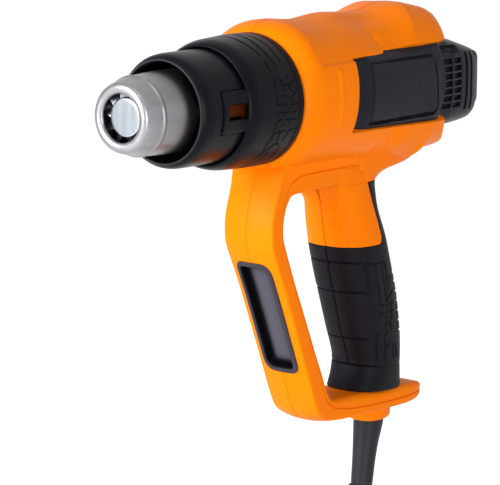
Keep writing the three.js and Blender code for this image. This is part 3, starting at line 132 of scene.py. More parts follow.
def surface(grid, ends="fan"):
    """A closed skin over a grid of stations, each a closed round of points. Ends are a fan to
    the middle point, a strip across the round (point i to point m-1-i), or a ring, which
    joins the last station to the first. Turned outwards by the sign of its volume."""
    n, m, _ = grid.shape
    points = grid.reshape(-1, 3)
    index = np.arange(n * m).reshape(n, m)
    beside = np.roll(index, -1, axis=1)
    if ends == "ring":
        first, second = index, np.roll(index, -1, axis=0)
        first_b, second_b = beside, np.roll(beside, -1, axis=0)
    else:
        first, second, first_b, second_b = index[:-1], index[1:], beside[:-1], beside[1:]
    quads = np.stack([first, first_b, second_b, second], -1).reshape(-1, 4)
    tris = np.zeros((0, 3), int)
    if ends == "fan":
        points = np.vstack([points, grid[0].mean(0), grid[-1].mean(0)])
        low = np.full(m, n * m)
        tris = np.vstack([np.stack([low, beside[0], index[0]], -1),
                          np.stack([low + 1, index[-1], beside[-1]], -1)])
    if ends == "strip":
        half = m // 2
        i = np.arange(half - 1)
        for ring, way in ((index[0], 1), (index[-1], -1)):
            strip = np.stack([ring[i + 1], ring[i], ring[m - 1 - i], ring[m - 2 - i]], -1)
            quads = np.vstack([quads, strip[:, ::way]])
    p = points
    volume = sum(np.einsum("ij,ij->i", p[q[:, 0]], np.cross(p[q[:, a]], p[q[:, a + 1]])).sum()
                 for q in (quads, tris) for a in range(1, q.shape[1] - 1))
    if volume < 0:
        quads, tris = quads[:, ::-1], tris[:, ::-1]
    return points, quads, tris


def skin_of(grid, ends="fan"):
    """Skin over a grid of points that are still in millimetres."""
    return surface(at(*np.moveaxis(grid, -1, 0)), ends)


def new_piece(name, skins, sharp=35.0):
    """One mesh object from closed skins, given in metres. Shading is smooth except across
    edges that turn by more than the sharp angle."""
    base = np.cumsum([0] + [len(s[0]) for s in skins])
    points = np.vstack([s[0] for s in skins])
    quads = np.vstack([s[1] + b for s, b in zip(skins, base)])
    tris = np.vstack([s[2] + b for s, b in zip(skins, base)])
    mesh = bpy.data.meshes.new(name)
    mesh.vertices.add(len(points))
    mesh.vertices.foreach_set("co", points.astype(np.float32).ravel())
    corners = np.concatenate([quads.ravel(), tris.ravel()])
    sizes = np.concatenate([np.full(len(quads), 4), np.full(len(tris), 3)])
    mesh.loops.add(len(corners))
    mesh.loops.foreach_set("vertex_index", corners.astype(np.int32))
    mesh.polygons.add(len(sizes))
    starts = np.concatenate([[0], np.cumsum(sizes)[:-1]])
    mesh.polygons.foreach_set("loop_start", starts.astype(np.int32))
    mesh.polygons.foreach_set("loop_total", sizes.astype(np.int32))
    mesh.update(calc_edges=True)
    mesh.shade_smooth()
    mesh.set_sharp_from_angle(angle=radians(sharp))
    piece = bpy.data.objects.new(name, mesh)
    bpy.context.scene.collection.objects.link(piece)
    return piece


def circle(sides):
    """Even angles round a full turn."""
    return np.arange(sides) * 2 * pi / sides


def tube(line, radius, sides):
    """Round skin along a line in millimetres: a circle of the given radius (one number or one
    per point) in the plane square to the line, with +Y as its starting side."""
    along = np.gradient(line, axis=0)
    along /= np.linalg.norm(along, axis=1)[:, None]
    side = np.array([0.0, 1.0, 0.0]) - along * along[:, 1:2]
    side /= np.linalg.norm(side, axis=1)[:, None]
    other = np.cross(along, side)
    angle = circle(sides)
    r = np.broadcast_to(np.asarray(radius, float), len(line))[:, None, None]
    ring = (line[:, None] + r * (np.cos(angle)[None, :, None] * side[:, None]
                                 + np.sin(angle)[None, :, None] * other[:, None]))
    return skin_of(ring)


def sum_of(operation, reflected=False):
    """Method that adds a Math node for a wire and another term, swapped where reflected."""
    def add_node(wire, other):
        terms = (other, wire) if reflected else (wire, other)
        return wire.tree.node("ShaderNodeMath", {"operation": operation}, dict(enumerate(terms)))
    return add_node


class Wire:
    """One output socket. A sum on wires and numbers adds Math nodes to its tree."""

    def __init__(self, tree, socket):
        self.tree, self.socket = tree, socket

    __add__ = sum_of("ADD")
    __radd__ = sum_of("ADD", True)
    __sub__ = sum_of("SUBTRACT")
    __rsub__ = sum_of("SUBTRACT", True)
    __mul__ = sum_of("MULTIPLY")
    __rmul__ = sum_of("MULTIPLY", True)


class Nodes:
    """A tree of shader nodes, of a material or of the world."""

    def __init__(self, owner):
        owner.use_nodes = True
        self.nodes = owner.node_tree.nodes
        self.links = owner.node_tree.links

    def put(self, node, values):
        """Links or sets each named input of a node."""
        for key, value in values.items():
            if isinstance(value, Wire):
                self.links.new(value.socket, node.inputs[key])
            else:
                node.inputs[key].default_value = value

    def node(self, kind, settings, values, output=0):
        """Adds a node: its settings first, then the values or links of its inputs."""
        made = self.nodes.new(kind)
        for key, value in settings.items():
            setattr(made, key, value)
        self.put(made, values)
        return Wire(self, made.outputs[output])

    def straight_rays(self):
        """One for rays that show a pale ground as it is: from the camera, a gloss or glass."""
        camera_ray, glossy, through = (
            self.node("ShaderNodeLightPath", {}, {}, f"Is {kind} Ray")
            for kind in ("Camera", "Glossy", "Transmission"))
        return camera_ray + glossy + through


class Finish(Nodes):
    """A material with one Principled shader."""

    def __init__(self, name):
        self.material = bpy.data.materials.new(name)
        super().__init__(self.material)
        self.shader = self.nodes["Principled BSDF"]
        self.place = self.node("ShaderNodeTexCoord", {}, {}, "Object")

    def axis(self, name):
        """One of the three object coordinates."""
        return self.node("ShaderNodeSeparateXYZ", {}, {0: self.place}, name)

    def noise(self, scale, detail, stretch=(1, 1, 1)):
        """Noise on object coordinates, drawn out along an axis where its stretch is small."""
        place = self.node("ShaderNodeMapping", {}, {"Vector": self.place, "Scale": stretch})
        return self.node("ShaderNodeTexNoise", {},
                         {"Vector": place, "Scale": scale, "Detail": detail}, "Fac")

    def mix(self, amount, first, second):
        """Colour between two others, each a wire or three numbers."""
        first, second = (c if isinstance(c, Wire) else (*c, 1) for c in (first, second))
        return self.node("ShaderNodeMix", {"data_type": "RGBA"},
                         {0: amount, 6: first, 7: second}, 2)

    def shade(self, colour, rough, grain, depth, strength, **values):
        """Sets the shader: colour, roughness, a bump from the grain, and any other sockets."""
        bump = self.node("ShaderNodeBump", {},
                         {"Strength": strength, "Distance": depth, "Height": grain}, "Normal")
        self.put(self.shader, {"Base Color": colour, "Roughness": rough, "Normal": bump})
        self.put(self.shader, {key.replace("_", " "): value for key, value in values.items()})
        return self.material


def dress(piece, material, body="body", nodes=()):
    """Gives a new piece its material, seats it on its body, and lets it stand for the solids named."""
    piece.data.materials.append(material)
    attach(piece, body)
    if nodes:
        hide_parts(*nodes)
    return piece


def two_tone(name, first, second, drift, grain, rough, depth, strength, **sockets):
    """Two colours that drift into each other under a fine grain. Drift and grain are a noise's
    scale and detail; the roughness is its first number plus the second times the drift."""
    finish = Finish(name)
    tone, skin = finish.noise(*drift), finish.noise(*grain)
    colour = finish.mix(tone, first, second)
    return finish.shade(colour, rough[0] + rough[1] * tone, skin, depth, strength, **sockets)


# The jacket is near-black rubber, a little dusty, with a fine matt skin.
jacket = two_tone("cord jacket", (0.0075, 0.0075, 0.0115), (0.014, 0.014, 0.020), (60, 4),
                  (2200, 2), (0.38, 0.16), 0.00003, 0.5, Specular_IOR_Level=0.18)
lead = line_through(CORD_ROUTE, 40)
tail = line_through(TAIL_ROUTE, 8)
cord_line = np.vstack([lead, coil_line()[1:-1], tail])
cord_piece = new_piece("mains_cord", [tube(cord_line, CORD_RADIUS, 16)])
dress(cord_piece, jacket, nodes=["cord_lead", "cord_coil", "cord_tail"])
cord_path = at(*cord_line.T)

# Coil tie, plug and pins. The tie is a soft strap looped once round the bundle; the plug is
# moulded in one with the cord and holds two solid round pins.
TIE_HALF = 5.0
TIE_THICKNESS = 1.2
TIE_GAP = 0.6
PLUG_X, PLUG_Y, PLUG_TOP = 238.17, 11.25, -352.6
PLUG_LENGTH = 46.0
PLUG_POWER = 2.5
PLUG_PROFILE = [  # distance from the top, half width, half thickness
    (0, 4.4, 4.4), (5, 4.9, 4.9), (12, 5.6, 5.6), (17, 8.2, 7.1), (24, 14, 10.5),
    (31, 17.4, 12.5), (38, 17.9, 12.9), (44.4, 17.8, 13), (46, 16.8, 12)]
PIN_RADIUS = 2.4
PIN_LENGTH = 19.0
PIN_SPACING = 19.0
SIDES = (("left", -1), ("right", 1))


def rounded(corners, radius, steps=5):
    """A closed outline with its corners rounded: each corner becomes a curve from a point one
    radius before it to one radius after it, bent towards the corner by its square law."""
    p = np.asarray(corners, float)
    r = np.broadcast_to(np.asarray(radius, float), len(p))[:, None]
    before, after = np.roll(p, 1, axis=0) - p, np.roll(p, -1, axis=0) - p
    start, finish = (
        (p + step * np.minimum(r / np.linalg.norm(step, axis=1)[:, None], 0.49))[:, None]
        for step in (before, after))
    t = np.linspace(0, 1, steps)[None, :, None]
    return ((1 - t) ** 2 * start + 2 * t * (1 - t) * p[:, None] + t ** 2 * finish).reshape(-1, 2)


def boxy(value, power):
    """Cosine or sine raised to 2/power with its sign kept: a circle becomes a rounded box."""
    return np.sign(value) * np.abs(value) ** (2 / power)


def box(low, high, left, right):
    """Corners of an upright rectangle, from the lower left one round."""
    return [(left, low), (right, low), (right, high), (left, high)]


spread = COIL_TURNS / COIL_LAYERS * COIL_PITCH
tie_high = COIL_Z + COIL_RADIUS + spread / 2 + CORD_RADIUS + TIE_GAP
tie_low = COIL_Z + COIL_RADIUS - spread / 2 - CORD_RADIUS - 2 * TIE_GAP
tie_side = (COIL_LAYERS - 1) / 2 * COIL_PITCH + CORD_RADIUS + TIE_GAP
inner, outer = (
    rounded(box(tie_low - grow, tie_high + grow, -tie_side - grow, tie_side + grow), 3 + grow, 8)
    for grow in (0.0, TIE_THICKNESS))
tie_edge = TIE_HALF - 0.3
rims = [(inner, -tie_edge), (outer, -tie_edge), (outer, tie_edge), (inner, tie_edge)]
strap = np.stack([at(COIL_X + x, ring[:, 0], ring[:, 1]) for ring, x in rims], 1)
tie = new_piece("coil_strap", [surface(strap, "ring")])


def strap_fabric():
    """Black woven hook-and-loop strap: crossed waves for the weave, rough and soft."""
    finish = Finish("tie strap")
    along, across = (
        finish.node("ShaderNodeTexWave", {"bands_direction": way},
                    {"Vector": finish.place, "Scale": 900.0, "Distortion": 1.5}, "Fac")
        for way in "XZ")
    mesh = along * across
    colour = finish.mix(mesh, (0.012, 0.012, 0.014), (0.035, 0.035, 0.04))
    return finish.shade(colour, 0.85 - 0.1 * mesh, mesh, 0.0001, 0.8)


dress(tie, strap_fabric(), nodes=["coil_tie"])

plug_line = line_through(PLUG_PROFILE, 44)
angle = circle(64)
plug_rings = at(PLUG_X + boxy(np.sin(angle), PLUG_POWER) * plug_line[:, 2:3],
                PLUG_Y + boxy(np.cos(angle), PLUG_POWER) * plug_line[:, 1:2],
                PLUG_TOP - np.clip(plug_line[:, 0:1], 0, PLUG_LENGTH))
plug = new_piece("plug_moulding", [surface(plug_rings)])
dress(plug, jacket, nodes=["plug_body"])


def polished_steel(name, tone, marks=700.0):
    """Bright plated steel with fine scratches and slightly uneven polish."""
    finish = Finish(name)
    haze = finish.noise(90, 4)
    scratch = finish.noise(marks, 3, (1, 1, 0.06))
    colour = finish.mix(haze, tone, [0.86 * c for c in tone])
    return finish.shade(colour, 0.2 + 0.14 * scratch, scratch, 0.00001, 0.4, Metallic=1.0)


plated_steel = polished_steel("plated steel", (0.62, 0.62, 0.64))
pin_end = PLUG_TOP - PLUG_LENGTH - PIN_LENGTH
pin_profile = np.array([(0.0, 0.02), (PIN_RADIUS - 0.9, 0.02), (PIN_RADIUS - 0.25, 0.5),
                        (PIN_RADIUS, 1.4), (PIN_RADIUS, PIN_LENGTH + 5.5)])
for name, side in SIDES:
    angle = circle(32)
    rings = at(PLUG_X + pin_profile[1:, 0:1] * np.cos(angle),
               PLUG_Y + side * PIN_SPACING / 2 + pin_profile[1:, 0:1] * np.sin(angle),
               pin_end + pin_profile[1:, 1:2])
    pin = new_piece(f"plug_pin_{name}_rod", [surface(rings)])
    dress(pin, plated_steel, nodes=[f"plug_pin_{name}"])

# Strain relief: a tapered rubber sleeve moulded round the cord, held by a flange inside the
# foot, with a thicker bead at its lower end.
BOOT_PATH = [  # x, z, radius
    (200.6, -173.6, 8.8), (200.6, -176, 8.8), (200.6, -176.5, 8.3), (200.6, -184, 8.3),
    (199.8, -189, 7.9), (198.2, -197, 7.05), (196.6, -207, 6.4), (194.95, -219.3, 6.0),
    (194.7, -220.8, 5.8), (194.6, -221.4, 6.7), (194.5, -222.1, 7.1), (194.2, -224, 7.15),
    (194, -225.4, 7.05), (193.9, -226.1, 6.5)]
INNER_CORD_X, INNER_CORD_TOP, INNER_CORD_FOOT = 200.6, -143.4, -173.1
boot_line = line_through(BOOT_PATH, 90)
boot = new_piece("strain_relief", [tube(
    np.stack([boot_line[:, 0], 0 * boot_line[:, 0], boot_line[:, 1]], -1), boot_line[:, 2], 48)])
dress(boot, jacket, nodes=["cord_boot"])
inner_z = np.linspace(INNER_CORD_TOP, INNER_CORD_FOOT, 24)
inner_line = np.stack([np.full(24, INNER_CORD_X), np.zeros(24), inner_z], -1)
inner_cord = new_piece("cord_inside_handle", [tube(inner_line, CORD_RADIUS, 20)])
dress(inner_cord, jacket, nodes=["cord_inner"])

# Steel outlet tube, spun from sheet: the mouth is rolled inwards to a polished lip, a cone
# runs back to a pressed bead, and the barrel disappears into the black guard. Inside the
# mouth sits a stamped plate: a round disc carried by ten twisted blades.
TUBE_FRONT = [(2.7, 13.4), (2.5, 12.0), (1.5, 11.4), (0.6, 11.9), (0.1, 13.0), (0.0, 14.1),
              (0.25, 15.1), (0.85, 16.0), (1.9, 16.6), (4.0, 17.2), (7.0, 17.95), (9.2, 18.5),
              (9.7, 18.75), (10.2, 19.15), (10.7, 19.3), (11.2, 19.2), (11.6, 18.95),
              (12.4, 18.95), (18.0, 19.3), (26.5, 19.75), (40.0, 19.8), (55.0, 19.8),
              (69.6, 19.8)]
TUBE_BACK = [(70, 22.1), (71, 22.1), (71, 18.9), (40, 18.9), (26.5, 18.85), (12, 17.9),
             (3.4, 15.9), (2.9, 14.8)]
DISC_X, DISC_RADIUS = 4.2, 9.7
BAND_RADIUS = 15.5
BLADES = 10
BLADE_THICKNESS = 0.35
BLADE_TURN = (20, 35)  # degrees at the disc, and how many more at the band
# where the heat tint and painted reflection start and end along x
HEAT_TINT_AND_REFLECTION_FRONT, HEAT_TINT_AND_REFLECTION_REAR = -0.185, -0.155


def turned(profile, angle, shape=None):
    """Skin turned round the barrel axis from a closed profile of (x, radius) points. The angles
    start at the left side and rise to the top. Shape changes x and radius, given both and
    the angle, as whole arrays."""
    x = profile[:, 0:1] + 0 * angle
    r = profile[:, 1:2] + 0 * angle
    if shape:
        x, r = shape(x, r, angle + 0 * x)
    return surface(at(x, -r * np.cos(angle), r * np.sin(angle)), "ring")


def spun_steel():
    """Bright spun sheet: rings left by the tool, soft smudges, and a brown heat tint that deepens
    towards the guard. The dark smudges and the tint are partly painted reflection: they darken the
    steel as mirrored dark surroundings would."""
    finish = Finish("spun steel")
    rings = finish.noise(1400, 2, (1, 0.02, 0.02))
    smudge_and_painted_reflection = finish.noise(70, 4, (0.5, 1, 1))
    back = finish.node("ShaderNodeMapRange", {}, {
        "Value": finish.axis("X"), "From Min": HEAT_TINT_AND_REFLECTION_FRONT, "From Max": HEAT_TINT_AND_REFLECTION_REAR})
    # heat tint and painted reflection: darker and browner towards the guard
    heat_tint_and_painted_reflection = finish.node("ShaderNodeMath", {"operation": "MULTIPLY", "use_clamp": True},
                       {0: back * smudge_and_painted_reflection, 1: 1.5})
    # smudges and painted reflection: the dark end stands in for mirrored dark surroundings
    base = finish.mix(smudge_and_painted_reflection, (0.12, 0.12, 0.13), (0.42, 0.42, 0.435))
    colour = finish.mix(heat_tint_and_painted_reflection, base, (0.13, 0.105, 0.10))
    return finish.shade(colour, 0.24 + 0.22 * smudge_and_painted_reflection, rings, 0.00002, 0.25, Metallic=1.0)


spun = spun_steel()
tube_profile = np.vstack([line_through(TUBE_FRONT, 150), TUBE_BACK])
outlet = new_piece("outlet_tube", [turned(tube_profile, circle(144))], 50)
dress(outlet, spun, nodes=["nozzle_tube"])

disc_profile = np.vstack([
    line_through([(4.0, 0.05), (4.0, 4.0), (4.05, 8.2), (4.3, 9.2), (4.9, 9.65), (5.6, 9.7)], 40),
    [(5.6, 9.2), (5.2, 8.9), (4.8, 8.0), (4.7, 4.0), (4.7, 0.05)]])
band_profile = line_through([(5.8, 14.6), (5.7, 15.1), (5.9, 15.5), (7.5, 15.5), (9.0, 15.5),
                             (9.2, 15.2), (9.1, 14.9), (7.5, 14.8), (5.9, 14.7)], 30)


def blades():
    """Flat tabs bent out of the plate: each runs outwards from the disc's rim to the band and
    is turned about its own length, more and more on the way, so that it scoops the air."""
    out = np.linspace(0, 1, 12)[:, None]
    around = np.array([(-1, -1), (0, -1), (1, -1), (1, 1), (0, 1), (-1, 1)])
    half = 2.7 - 0.5 * out
    turn = np.radians(BLADE_TURN[0] + BLADE_TURN[1] * out)
    across, through = around[None, :, 0] * half, around[None, :, 1] * BLADE_THICKNESS + 0 * out
    side = across * np.cos(turn) - through * np.sin(turn)
    deep = across * np.sin(turn) + through * np.cos(turn)
    radius = DISC_RADIUS - 1.2 + out * (BAND_RADIUS - DISC_RADIUS + 0.9) + 0 * side
    skins = []
    for i in range(BLADES):
        a = 2 * pi * (i + 0.35) / BLADES
        skins.append(surface(at(DISC_X + 1.6 + deep, radius * cos(a) - side * sin(a),
                                radius * sin(a) + side * cos(a))))
    return skins


plate_skins = [turned(profile, circle(96)) for profile in (disc_profile, band_profile)]
deflector = new_piece("outlet_plate", plate_skins + blades())
dress(deflector, polished_steel("pressed plate", (0.37, 0.40, 0.44), 500.0),
      nodes=["nozzle_deflector"])

# Front guard: a black moulded sleeve that pulls off forwards. Its mouth rolls inwards, and
# its rear end has a notch on each side for the collar's tongues.
GUARD_PROFILE = np.vstack([
    line_through([(31.6, 23.9), (30.4, 24.0), (29.4, 24.15), (29.0, 24.45), (29.15, 24.9),
                  (29.75, 25.6), (30.6, 26.35), (31.8, 26.95), (33.4, 27.35), (36, 27.6),
                  (41, 27.7), (50, 27.7), (60, 27.7), (74.6, 27.7)], 90),
    [(75, 27.4), (75, 25.1), (60, 25.05), (45, 25.05), (37, 25.0), (34.5, 24.8), (32.6, 24.3)]])
NOTCH_FRONT, NOTCH_HALF = 41.9, 10.6
PLAIN_FRONT = 35.0  # in front of this the notch draws nothing
GUARD_REAR = 75.0


def dark_plastic(name, tone=(0.0030, 0.0032, 0.0052), grain=2600.0, gloss=0.32, worn=None):
    """Moulded black plastic with a blue cast: fine spark-eroded grain, slow drifts of shade from
    handling, and a slightly uneven gloss. In front of the highlight's x the colour is painted
    paler, a painted highlight on the rim."""
    finish = Finish(name)
    drift = finish.noise(28, 3)
    spark = finish.noise(grain, 2)
    colour = finish.mix(drift, [0.75 * c for c in tone], [1.35 * c for c in tone])
    if worn is not None:
        # painted highlight: the colour turns paler in front of the given x, where the rim's edge
        # would catch the lamp
        rubbed = finish.node("ShaderNodeMapRange", {}, {
            "Value": finish.axis("X"), "From Min": worn, "From Max": worn + 0.0006,
            "To Min": 1.0, "To Max": 0.0})
        colour = finish.mix(rubbed, colour, (0.040, 0.042, 0.048))
    return finish.shade(colour, gloss - 0.08 + 0.18 * drift, spark, 0.00003, 0.55,
                        Specular_IOR_Level=0.07)


black_plastic = dark_plastic("black moulding")


def notched(x, r, angle):
    """Draws the sleeve's rear part up to the notch's front end where the height above or
    below the axis is less than the notch's half width."""
    height = np.abs(GUARD_PROFILE[:, 1].max() * np.sin(angle))
    inside = (height < NOTCH_HALF) & (x > PLAIN_FRONT)
    drawn = PLAIN_FRONT + ((x - PLAIN_FRONT) * (NOTCH_FRONT - PLAIN_FRONT)
                           / (GUARD_REAR - PLAIN_FRONT))
    return np.where(inside, drawn, x), r


def with_edges(sides, edges, gap=0.02):
    """Even angles in degrees round a circle, with two lines a gap to each side of each edge in
    the place of the even lines next to it."""
    even = np.arange(0, 360, 360 / sides)
    near = np.min(np.abs((even[:, None] - np.array(edges)[None] + 180) % 360 - 180), axis=1)
    pairs = np.array([e + d for e in edges for d in (-gap, gap)]) % 360
    return np.sort(np.concatenate([even[near > 0.7], pairs]))


notch = np.degrees(np.arcsin(NOTCH_HALF / GUARD_PROFILE[:, 1].max()))
guard_angles = np.radians(with_edges(240, [notch, 180 - notch, 180 + notch, 360 - notch]))
guard = new_piece("guard_sleeve", [turned(GUARD_PROFILE, guard_angles, notched)])
# The mouth's rim gets a painted highlight: a paler band of colour.
guard_plastic = dark_plastic("guard moulding", worn=-0.1590)
dress(guard, guard_plastic, body="guard", nodes=["nozzle_guard"])

# Collar: the black sleeve behind the guard, locked on the housing. Its skin carries a tyre
# tread of fine cuts: long lines over the top and bottom and rows of stepped strokes down each
# side. Two windowed tongues reach forward through the guard's notches.
TREAD = [  # polylines of (x, degrees above the side)
    [(75.2, 90), (75.4, 66), (77, 48.5)], [(83.0, 90), (81.4, 60), (81.6, 45), (83, 36)],
    [(86.8, 90), (88, 60), (87.5, 39)], [(77.1, 42), (77.4, 29.4)],
    [(79.8, 33), (81.8, 27.5), (82, 21)], [(85, 33), (87.4, 27), (87.4, 23)],
    [(79, 24), (77, 22), (76.8, 15)], [(91.7, 21.6), (87.7, 17.9), (86.6, 13.8), (88.8, 13.1)],
    [(81.8, 18.9), (86.4, 18.1)], [(82.9, 16), (82.8, 13)],
    [(91.5, 11), (87.7, 8), (87.1, 4.5)], [(80.8, 9.2), (84.8, 9.0)], [(82.6, 9), (82.5, 4.6)],
    [(76.9, 9.8), (76.9, 5.4)],
    [(91.4, 1.6), (86.7, 1.6), (86.9, -1.6)], [(79.7, 2.6), (84, 1.8)], [(82.8, 2), (82.9, -1.4)],
    [(79, 2.8), (76.2, 2.2), (76.3, -1.2)],
    [(91.5, -4.7), (86.7, -4.9), (86.7, -8.6)], [(84.8, -4.5), (79.6, -4.1)],
    [(82.9, -4.2), (82.7, -8.8)], [(80.4, -3.8), (76.7, -3.9), (76.7, -9)],
    [(91.2, -11.6), (87.2, -11.4), (86.6, -17)], [(87.2, -11.2), (83.4, -10.8), (82.5, -16.4)],
    [(80.4, -10.2), (77, -11.8), (76.3, -21.3)],
    [(91, -20.6), (87.8, -21.6), (86.4, -31.4)], [(85.7, -21.2), (81.2, -21.3), (81.8, -30)],
    [(80, -20.7), (77, -23.6), (75, -37.5), (76.6, -41.7)],
    [(84.8, -35.6), (82, -33.2), (77, -42), (75.2, -47), (75, -62), (75, -90)],
    [(86.8, -38.4), (87.4, -46.5), (84, -55.5), (83.4, -66), (83, -90)],
    [(80.4, -44), (79.2, -56), (79.2, -90)], [(88.4, -47), (87.8, -60), (87.4, -90)]]
TREAD_DEPTH = 0.6
DEGREE = 0.576  # millimetres along the collar's skin
REAR_GROOVE = 94.0
SKIN_INSIDE, SKIN_FRONT = 30.5, 66.0  # the outer skin lies outside the one, behind the other
TONGUE_RISE = 3.4  # how far a tongue climbs to meet the collar
TONGUE_CORNERS = box(-10.3, 10.3, 42.2, 65.4)
WINDOW_CORNERS = box(-3.8, 3.8, 46.1, 60.9)


def strokes(lines):
    """Straight pieces of the polylines, one row of x1, y1, x2, y2 each."""
    return np.array([a + b for line in lines for a, b in zip(line[:-1], line[1:])], float)


def away(u, v, pieces):
    """Distance of each point (u, v) to the nearest of the straight pieces: the point is
    projected on each piece, the foot is held between its ends, and the least length wins."""
    p = np.stack([np.ravel(u), np.ravel(v)], -1)[:, None]
    a, step = pieces[None, :, :2], (pieces[:, 2:] - pieces[:, :2])[None]
    t = np.clip(((p - a) * step).sum(-1) / np.maximum((step ** 2).sum(-1), 1e-9), 0, 1)
    return np.linalg.norm(p - a - t[..., None] * step, axis=-1).min(1).reshape(np.shape(u))


def groove(distance, half, soft=0.35):
    """One inside the half width, falling to nothing over the soft edge by a smooth step."""
    t = np.clip((distance - half) / soft, 0, 1)
    return 1 - ease(t)


def treaded(x, r, angle):
    """Lowers the outer skin along the tread's strokes and the ring groove near the rear. The
    angle above the side is the same for left and right, and is turned into a length."""
    side = np.degrees(np.arctan2(np.sin(angle), np.abs(np.cos(angle))))
    pieces = strokes([[(a, DEGREE * b) for a, b in line] for line in TREAD])
    cut = groove(away(x, DEGREE * side, pieces), 0.22)
    ring = groove(np.abs(x - REAR_GROOVE), 0.2)
    outer = (r > SKIN_INSIDE) & (x > SKIN_FRONT)
    return x, r - np.where(outer, TREAD_DEPTH * np.maximum(cut, ring), 0)


collar_x = np.arange(67, 97.2, 0.4)
collar_profile = np.vstack([
    line_through([(60.3, 28.3), (59.5, 28.4), (59.15, 28.8), (59.25, 29.4), (59.9, 30.1),
                  (61.2, 30.8), (63, 31.4), (65, 31.85), (66.7, 32.03)], 32),
    np.stack([collar_x, np.interp(collar_x, [67, 83.5, 97], [32.08, 33.0, 33.0])], -1),
    [(97.5, 32.95), (97.85, 32.7), (98.0, 32.3), (98.0, 30.4), (97.0, 30.2), (78, 30.2),
     (77.7, 28.35), (66, 28.35)]])


def finer(outline, parts):
    """A closed outline with each straight step cut into equal parts."""
    t = np.arange(parts)[None, :, None] / parts
    ahead = np.roll(outline, -1, axis=0)
    return (outline[:, None] * (1 - t) + ahead[:, None] * t).reshape(-1, 2)


def tongue(side):
    """Curved plate with a window: loops run from the outer outline in to the window on the
    outside and back out on the inside. Each step is the share of that way and a radius, and
    each point (x, z) is laid on the circle of that radius round the axis."""
    outline = finer(rounded(TONGUE_CORNERS, [2.2, 0.4, 0.4, 2.2], 6), 3)
    window = finer(rounded(WINDOW_CORNERS, 0.7, 6), 3)
    steps = [(0, 28.0), (0.03, 28.4), (0.1, 28.5), (0.35, 28.5), (0.65, 28.5), (0.93, 28.45),
             (1, 28.1), (1, 26.3), (0.5, 26.2), (0, 26.3)]
    loops = np.stack([outline * (1 - t) + window * t for t, _ in steps])
    radius = np.array([r for _, r in steps])[:, None] + 0 * loops[..., 0]
    rise = np.clip((loops[..., 0] - 58.5) / 6, 0, 1)
    radius += np.where(radius > 27.5, TONGUE_RISE * ease(rise), 0)
    y = side * np.sqrt(radius ** 2 - loops[..., 1] ** 2)
    return surface(at(loops[..., 0], y, loops[..., 1]), "ring")


collar = new_piece("tread_collar", [
    turned(collar_profile, circle(720), treaded), tongue(-1), tongue(1)])
dress(collar, black_plastic, nodes=["collar"])

# Housing: two shells of orange glass-filled nylon, screwed together in the middle plane with
# a fine V seam. Each is moulded with its half of the barrel, bridge, front bar, foot and upper
# grip, a sunk opening for the side panel, a rib, and facets in the shoulder and belly.
HOUSING_FRONT = 98.3
HOUSING_WALL = 2.6
LEAST_WALL = 1.4  # what is left under the deepest relief
SEAM = 0.06
BODY_SECTIONS = [  # distance behind the front, top, bottom, half width
    (0, 33.4, 33.4, 33.4), (2.2, 35.6, 35.2, 35.4), (7, 37.6, 36, 37), (15, 38.5, 36.4, 37.8),
    (36, 37.1, 36.8, 37.5), (58, 38.9, 38, 37.2), (82, 37.8, 40, 36.8), (92, 38.8, 42, 36.6),
    (102, 40.9, 44.2, 36.4), (111, 41.5, 44.2, 36.2), (120, 41, 39, 35.7), (134, 39.6, 38.2, 34.8),
    (143, 37, 35.5, 33), (149, 31.5, 31, 29.5)]
UPPER_REAR = [  # top and half width of the upper skin, which rounds off to the rear like a dome
    (110, 41.5, 36.2), (116, 41.4, 35.9), (120, 40.8, 35.2), (124, 40.0, 34.4), (128, 39.1, 32.4),
    (132, 37.9, 30), (137, 36.3, 27.2), (142, 34.3, 24.6), (149, 31, 20)]
REAR_RIM = [  # distance from the middle plane, where the skin ends there
    (0, 247.3), (6, 246), (12, 242), (16, 238), (20, 233.5), (24, 230), (27, 227), (30.5, 223.9),
    (32.5, 222.6), (40, 222.6)]
REAR_START = 205.0
UPPER_REAR_START = 112.0  # behind this the upper skin follows its own table
BARREL_HALF, BARREL_TALL = 36.0, 38.0  # rough half width and height over the axis
body_rows = line_through(BODY_SECTIONS, 300)
upper_rows = line_through(UPPER_REAR, 120)
rim_rows = line_through(REAR_RIM, 120)


def smooth(value, start, end):
    """Nothing before start, one after end, and a smooth step between them."""
    return ease(np.clip((value - start) / (end - start), 0, 1))


def read(rows, place, *columns):
    """Values of the table's columns at a place, on straight lines between its rows."""
    return [np.interp(place, rows[:, 0], rows[:, column]) for column in columns]


def barrel_size(x, above=False):
    """Top, bottom and half width of the barrel at x, and the power of its rounding. The upper
    skin has sizes of its own near the rear end, and the lower one grows boxy there."""
    along = x - HOUSING_FRONT
    top, bottom, half = read(body_rows, along, 1, 2, 3)
    rear_top, rear_half = read(upper_rows, along, 1, 2)
    rear = along > UPPER_REAR_START
    top = np.where(rear, rear_top, top)
    half = np.where(rear & above, rear_half, half)
    square = np.where(above, -0.05, 0.5) * smooth(along, 100, 126)
    return top, bottom, half, 2 + 0.25 * smooth(along, 0, 8) + square


def barrel(x, angle):
    """Side distance and height of the barrel's skin. The angle runs from the top over the side
    to the bottom; sine and cosine are raised to 2/power and stretched to the sizes."""
    c, s = np.cos(angle), np.sin(angle)
    top, bottom, half, power = barrel_size(x, c > 0)
    return half * boxy(s, power), np.where(c > 0, top, bottom) * boxy(c, power)


def rear_end(angle):
    """Where the skin ends at each angle: far back at the top and bottom, short at the sides."""
    return read(rim_rows, BARREL_HALF * np.abs(np.sin(angle)), 1)[0]


def drawn_in(x, end):
    """Stations behind the rear start, drawn forward so that the last one lies at the end."""
    share = np.clip((x - REAR_START) / (stations[-1] - REAR_START), 0, 1)
    return np.where(x > REAR_START, REAR_START + (end - REAR_START) * share, x)


def opening_edges(x):
    """Heights of the side opening's upper and lower edge: the upper one steps up once."""
    return (19.7 + 1.7 * smooth(x, 165.5, 168.5), -18.7 - 1.6 * smooth(x, 137, 218))


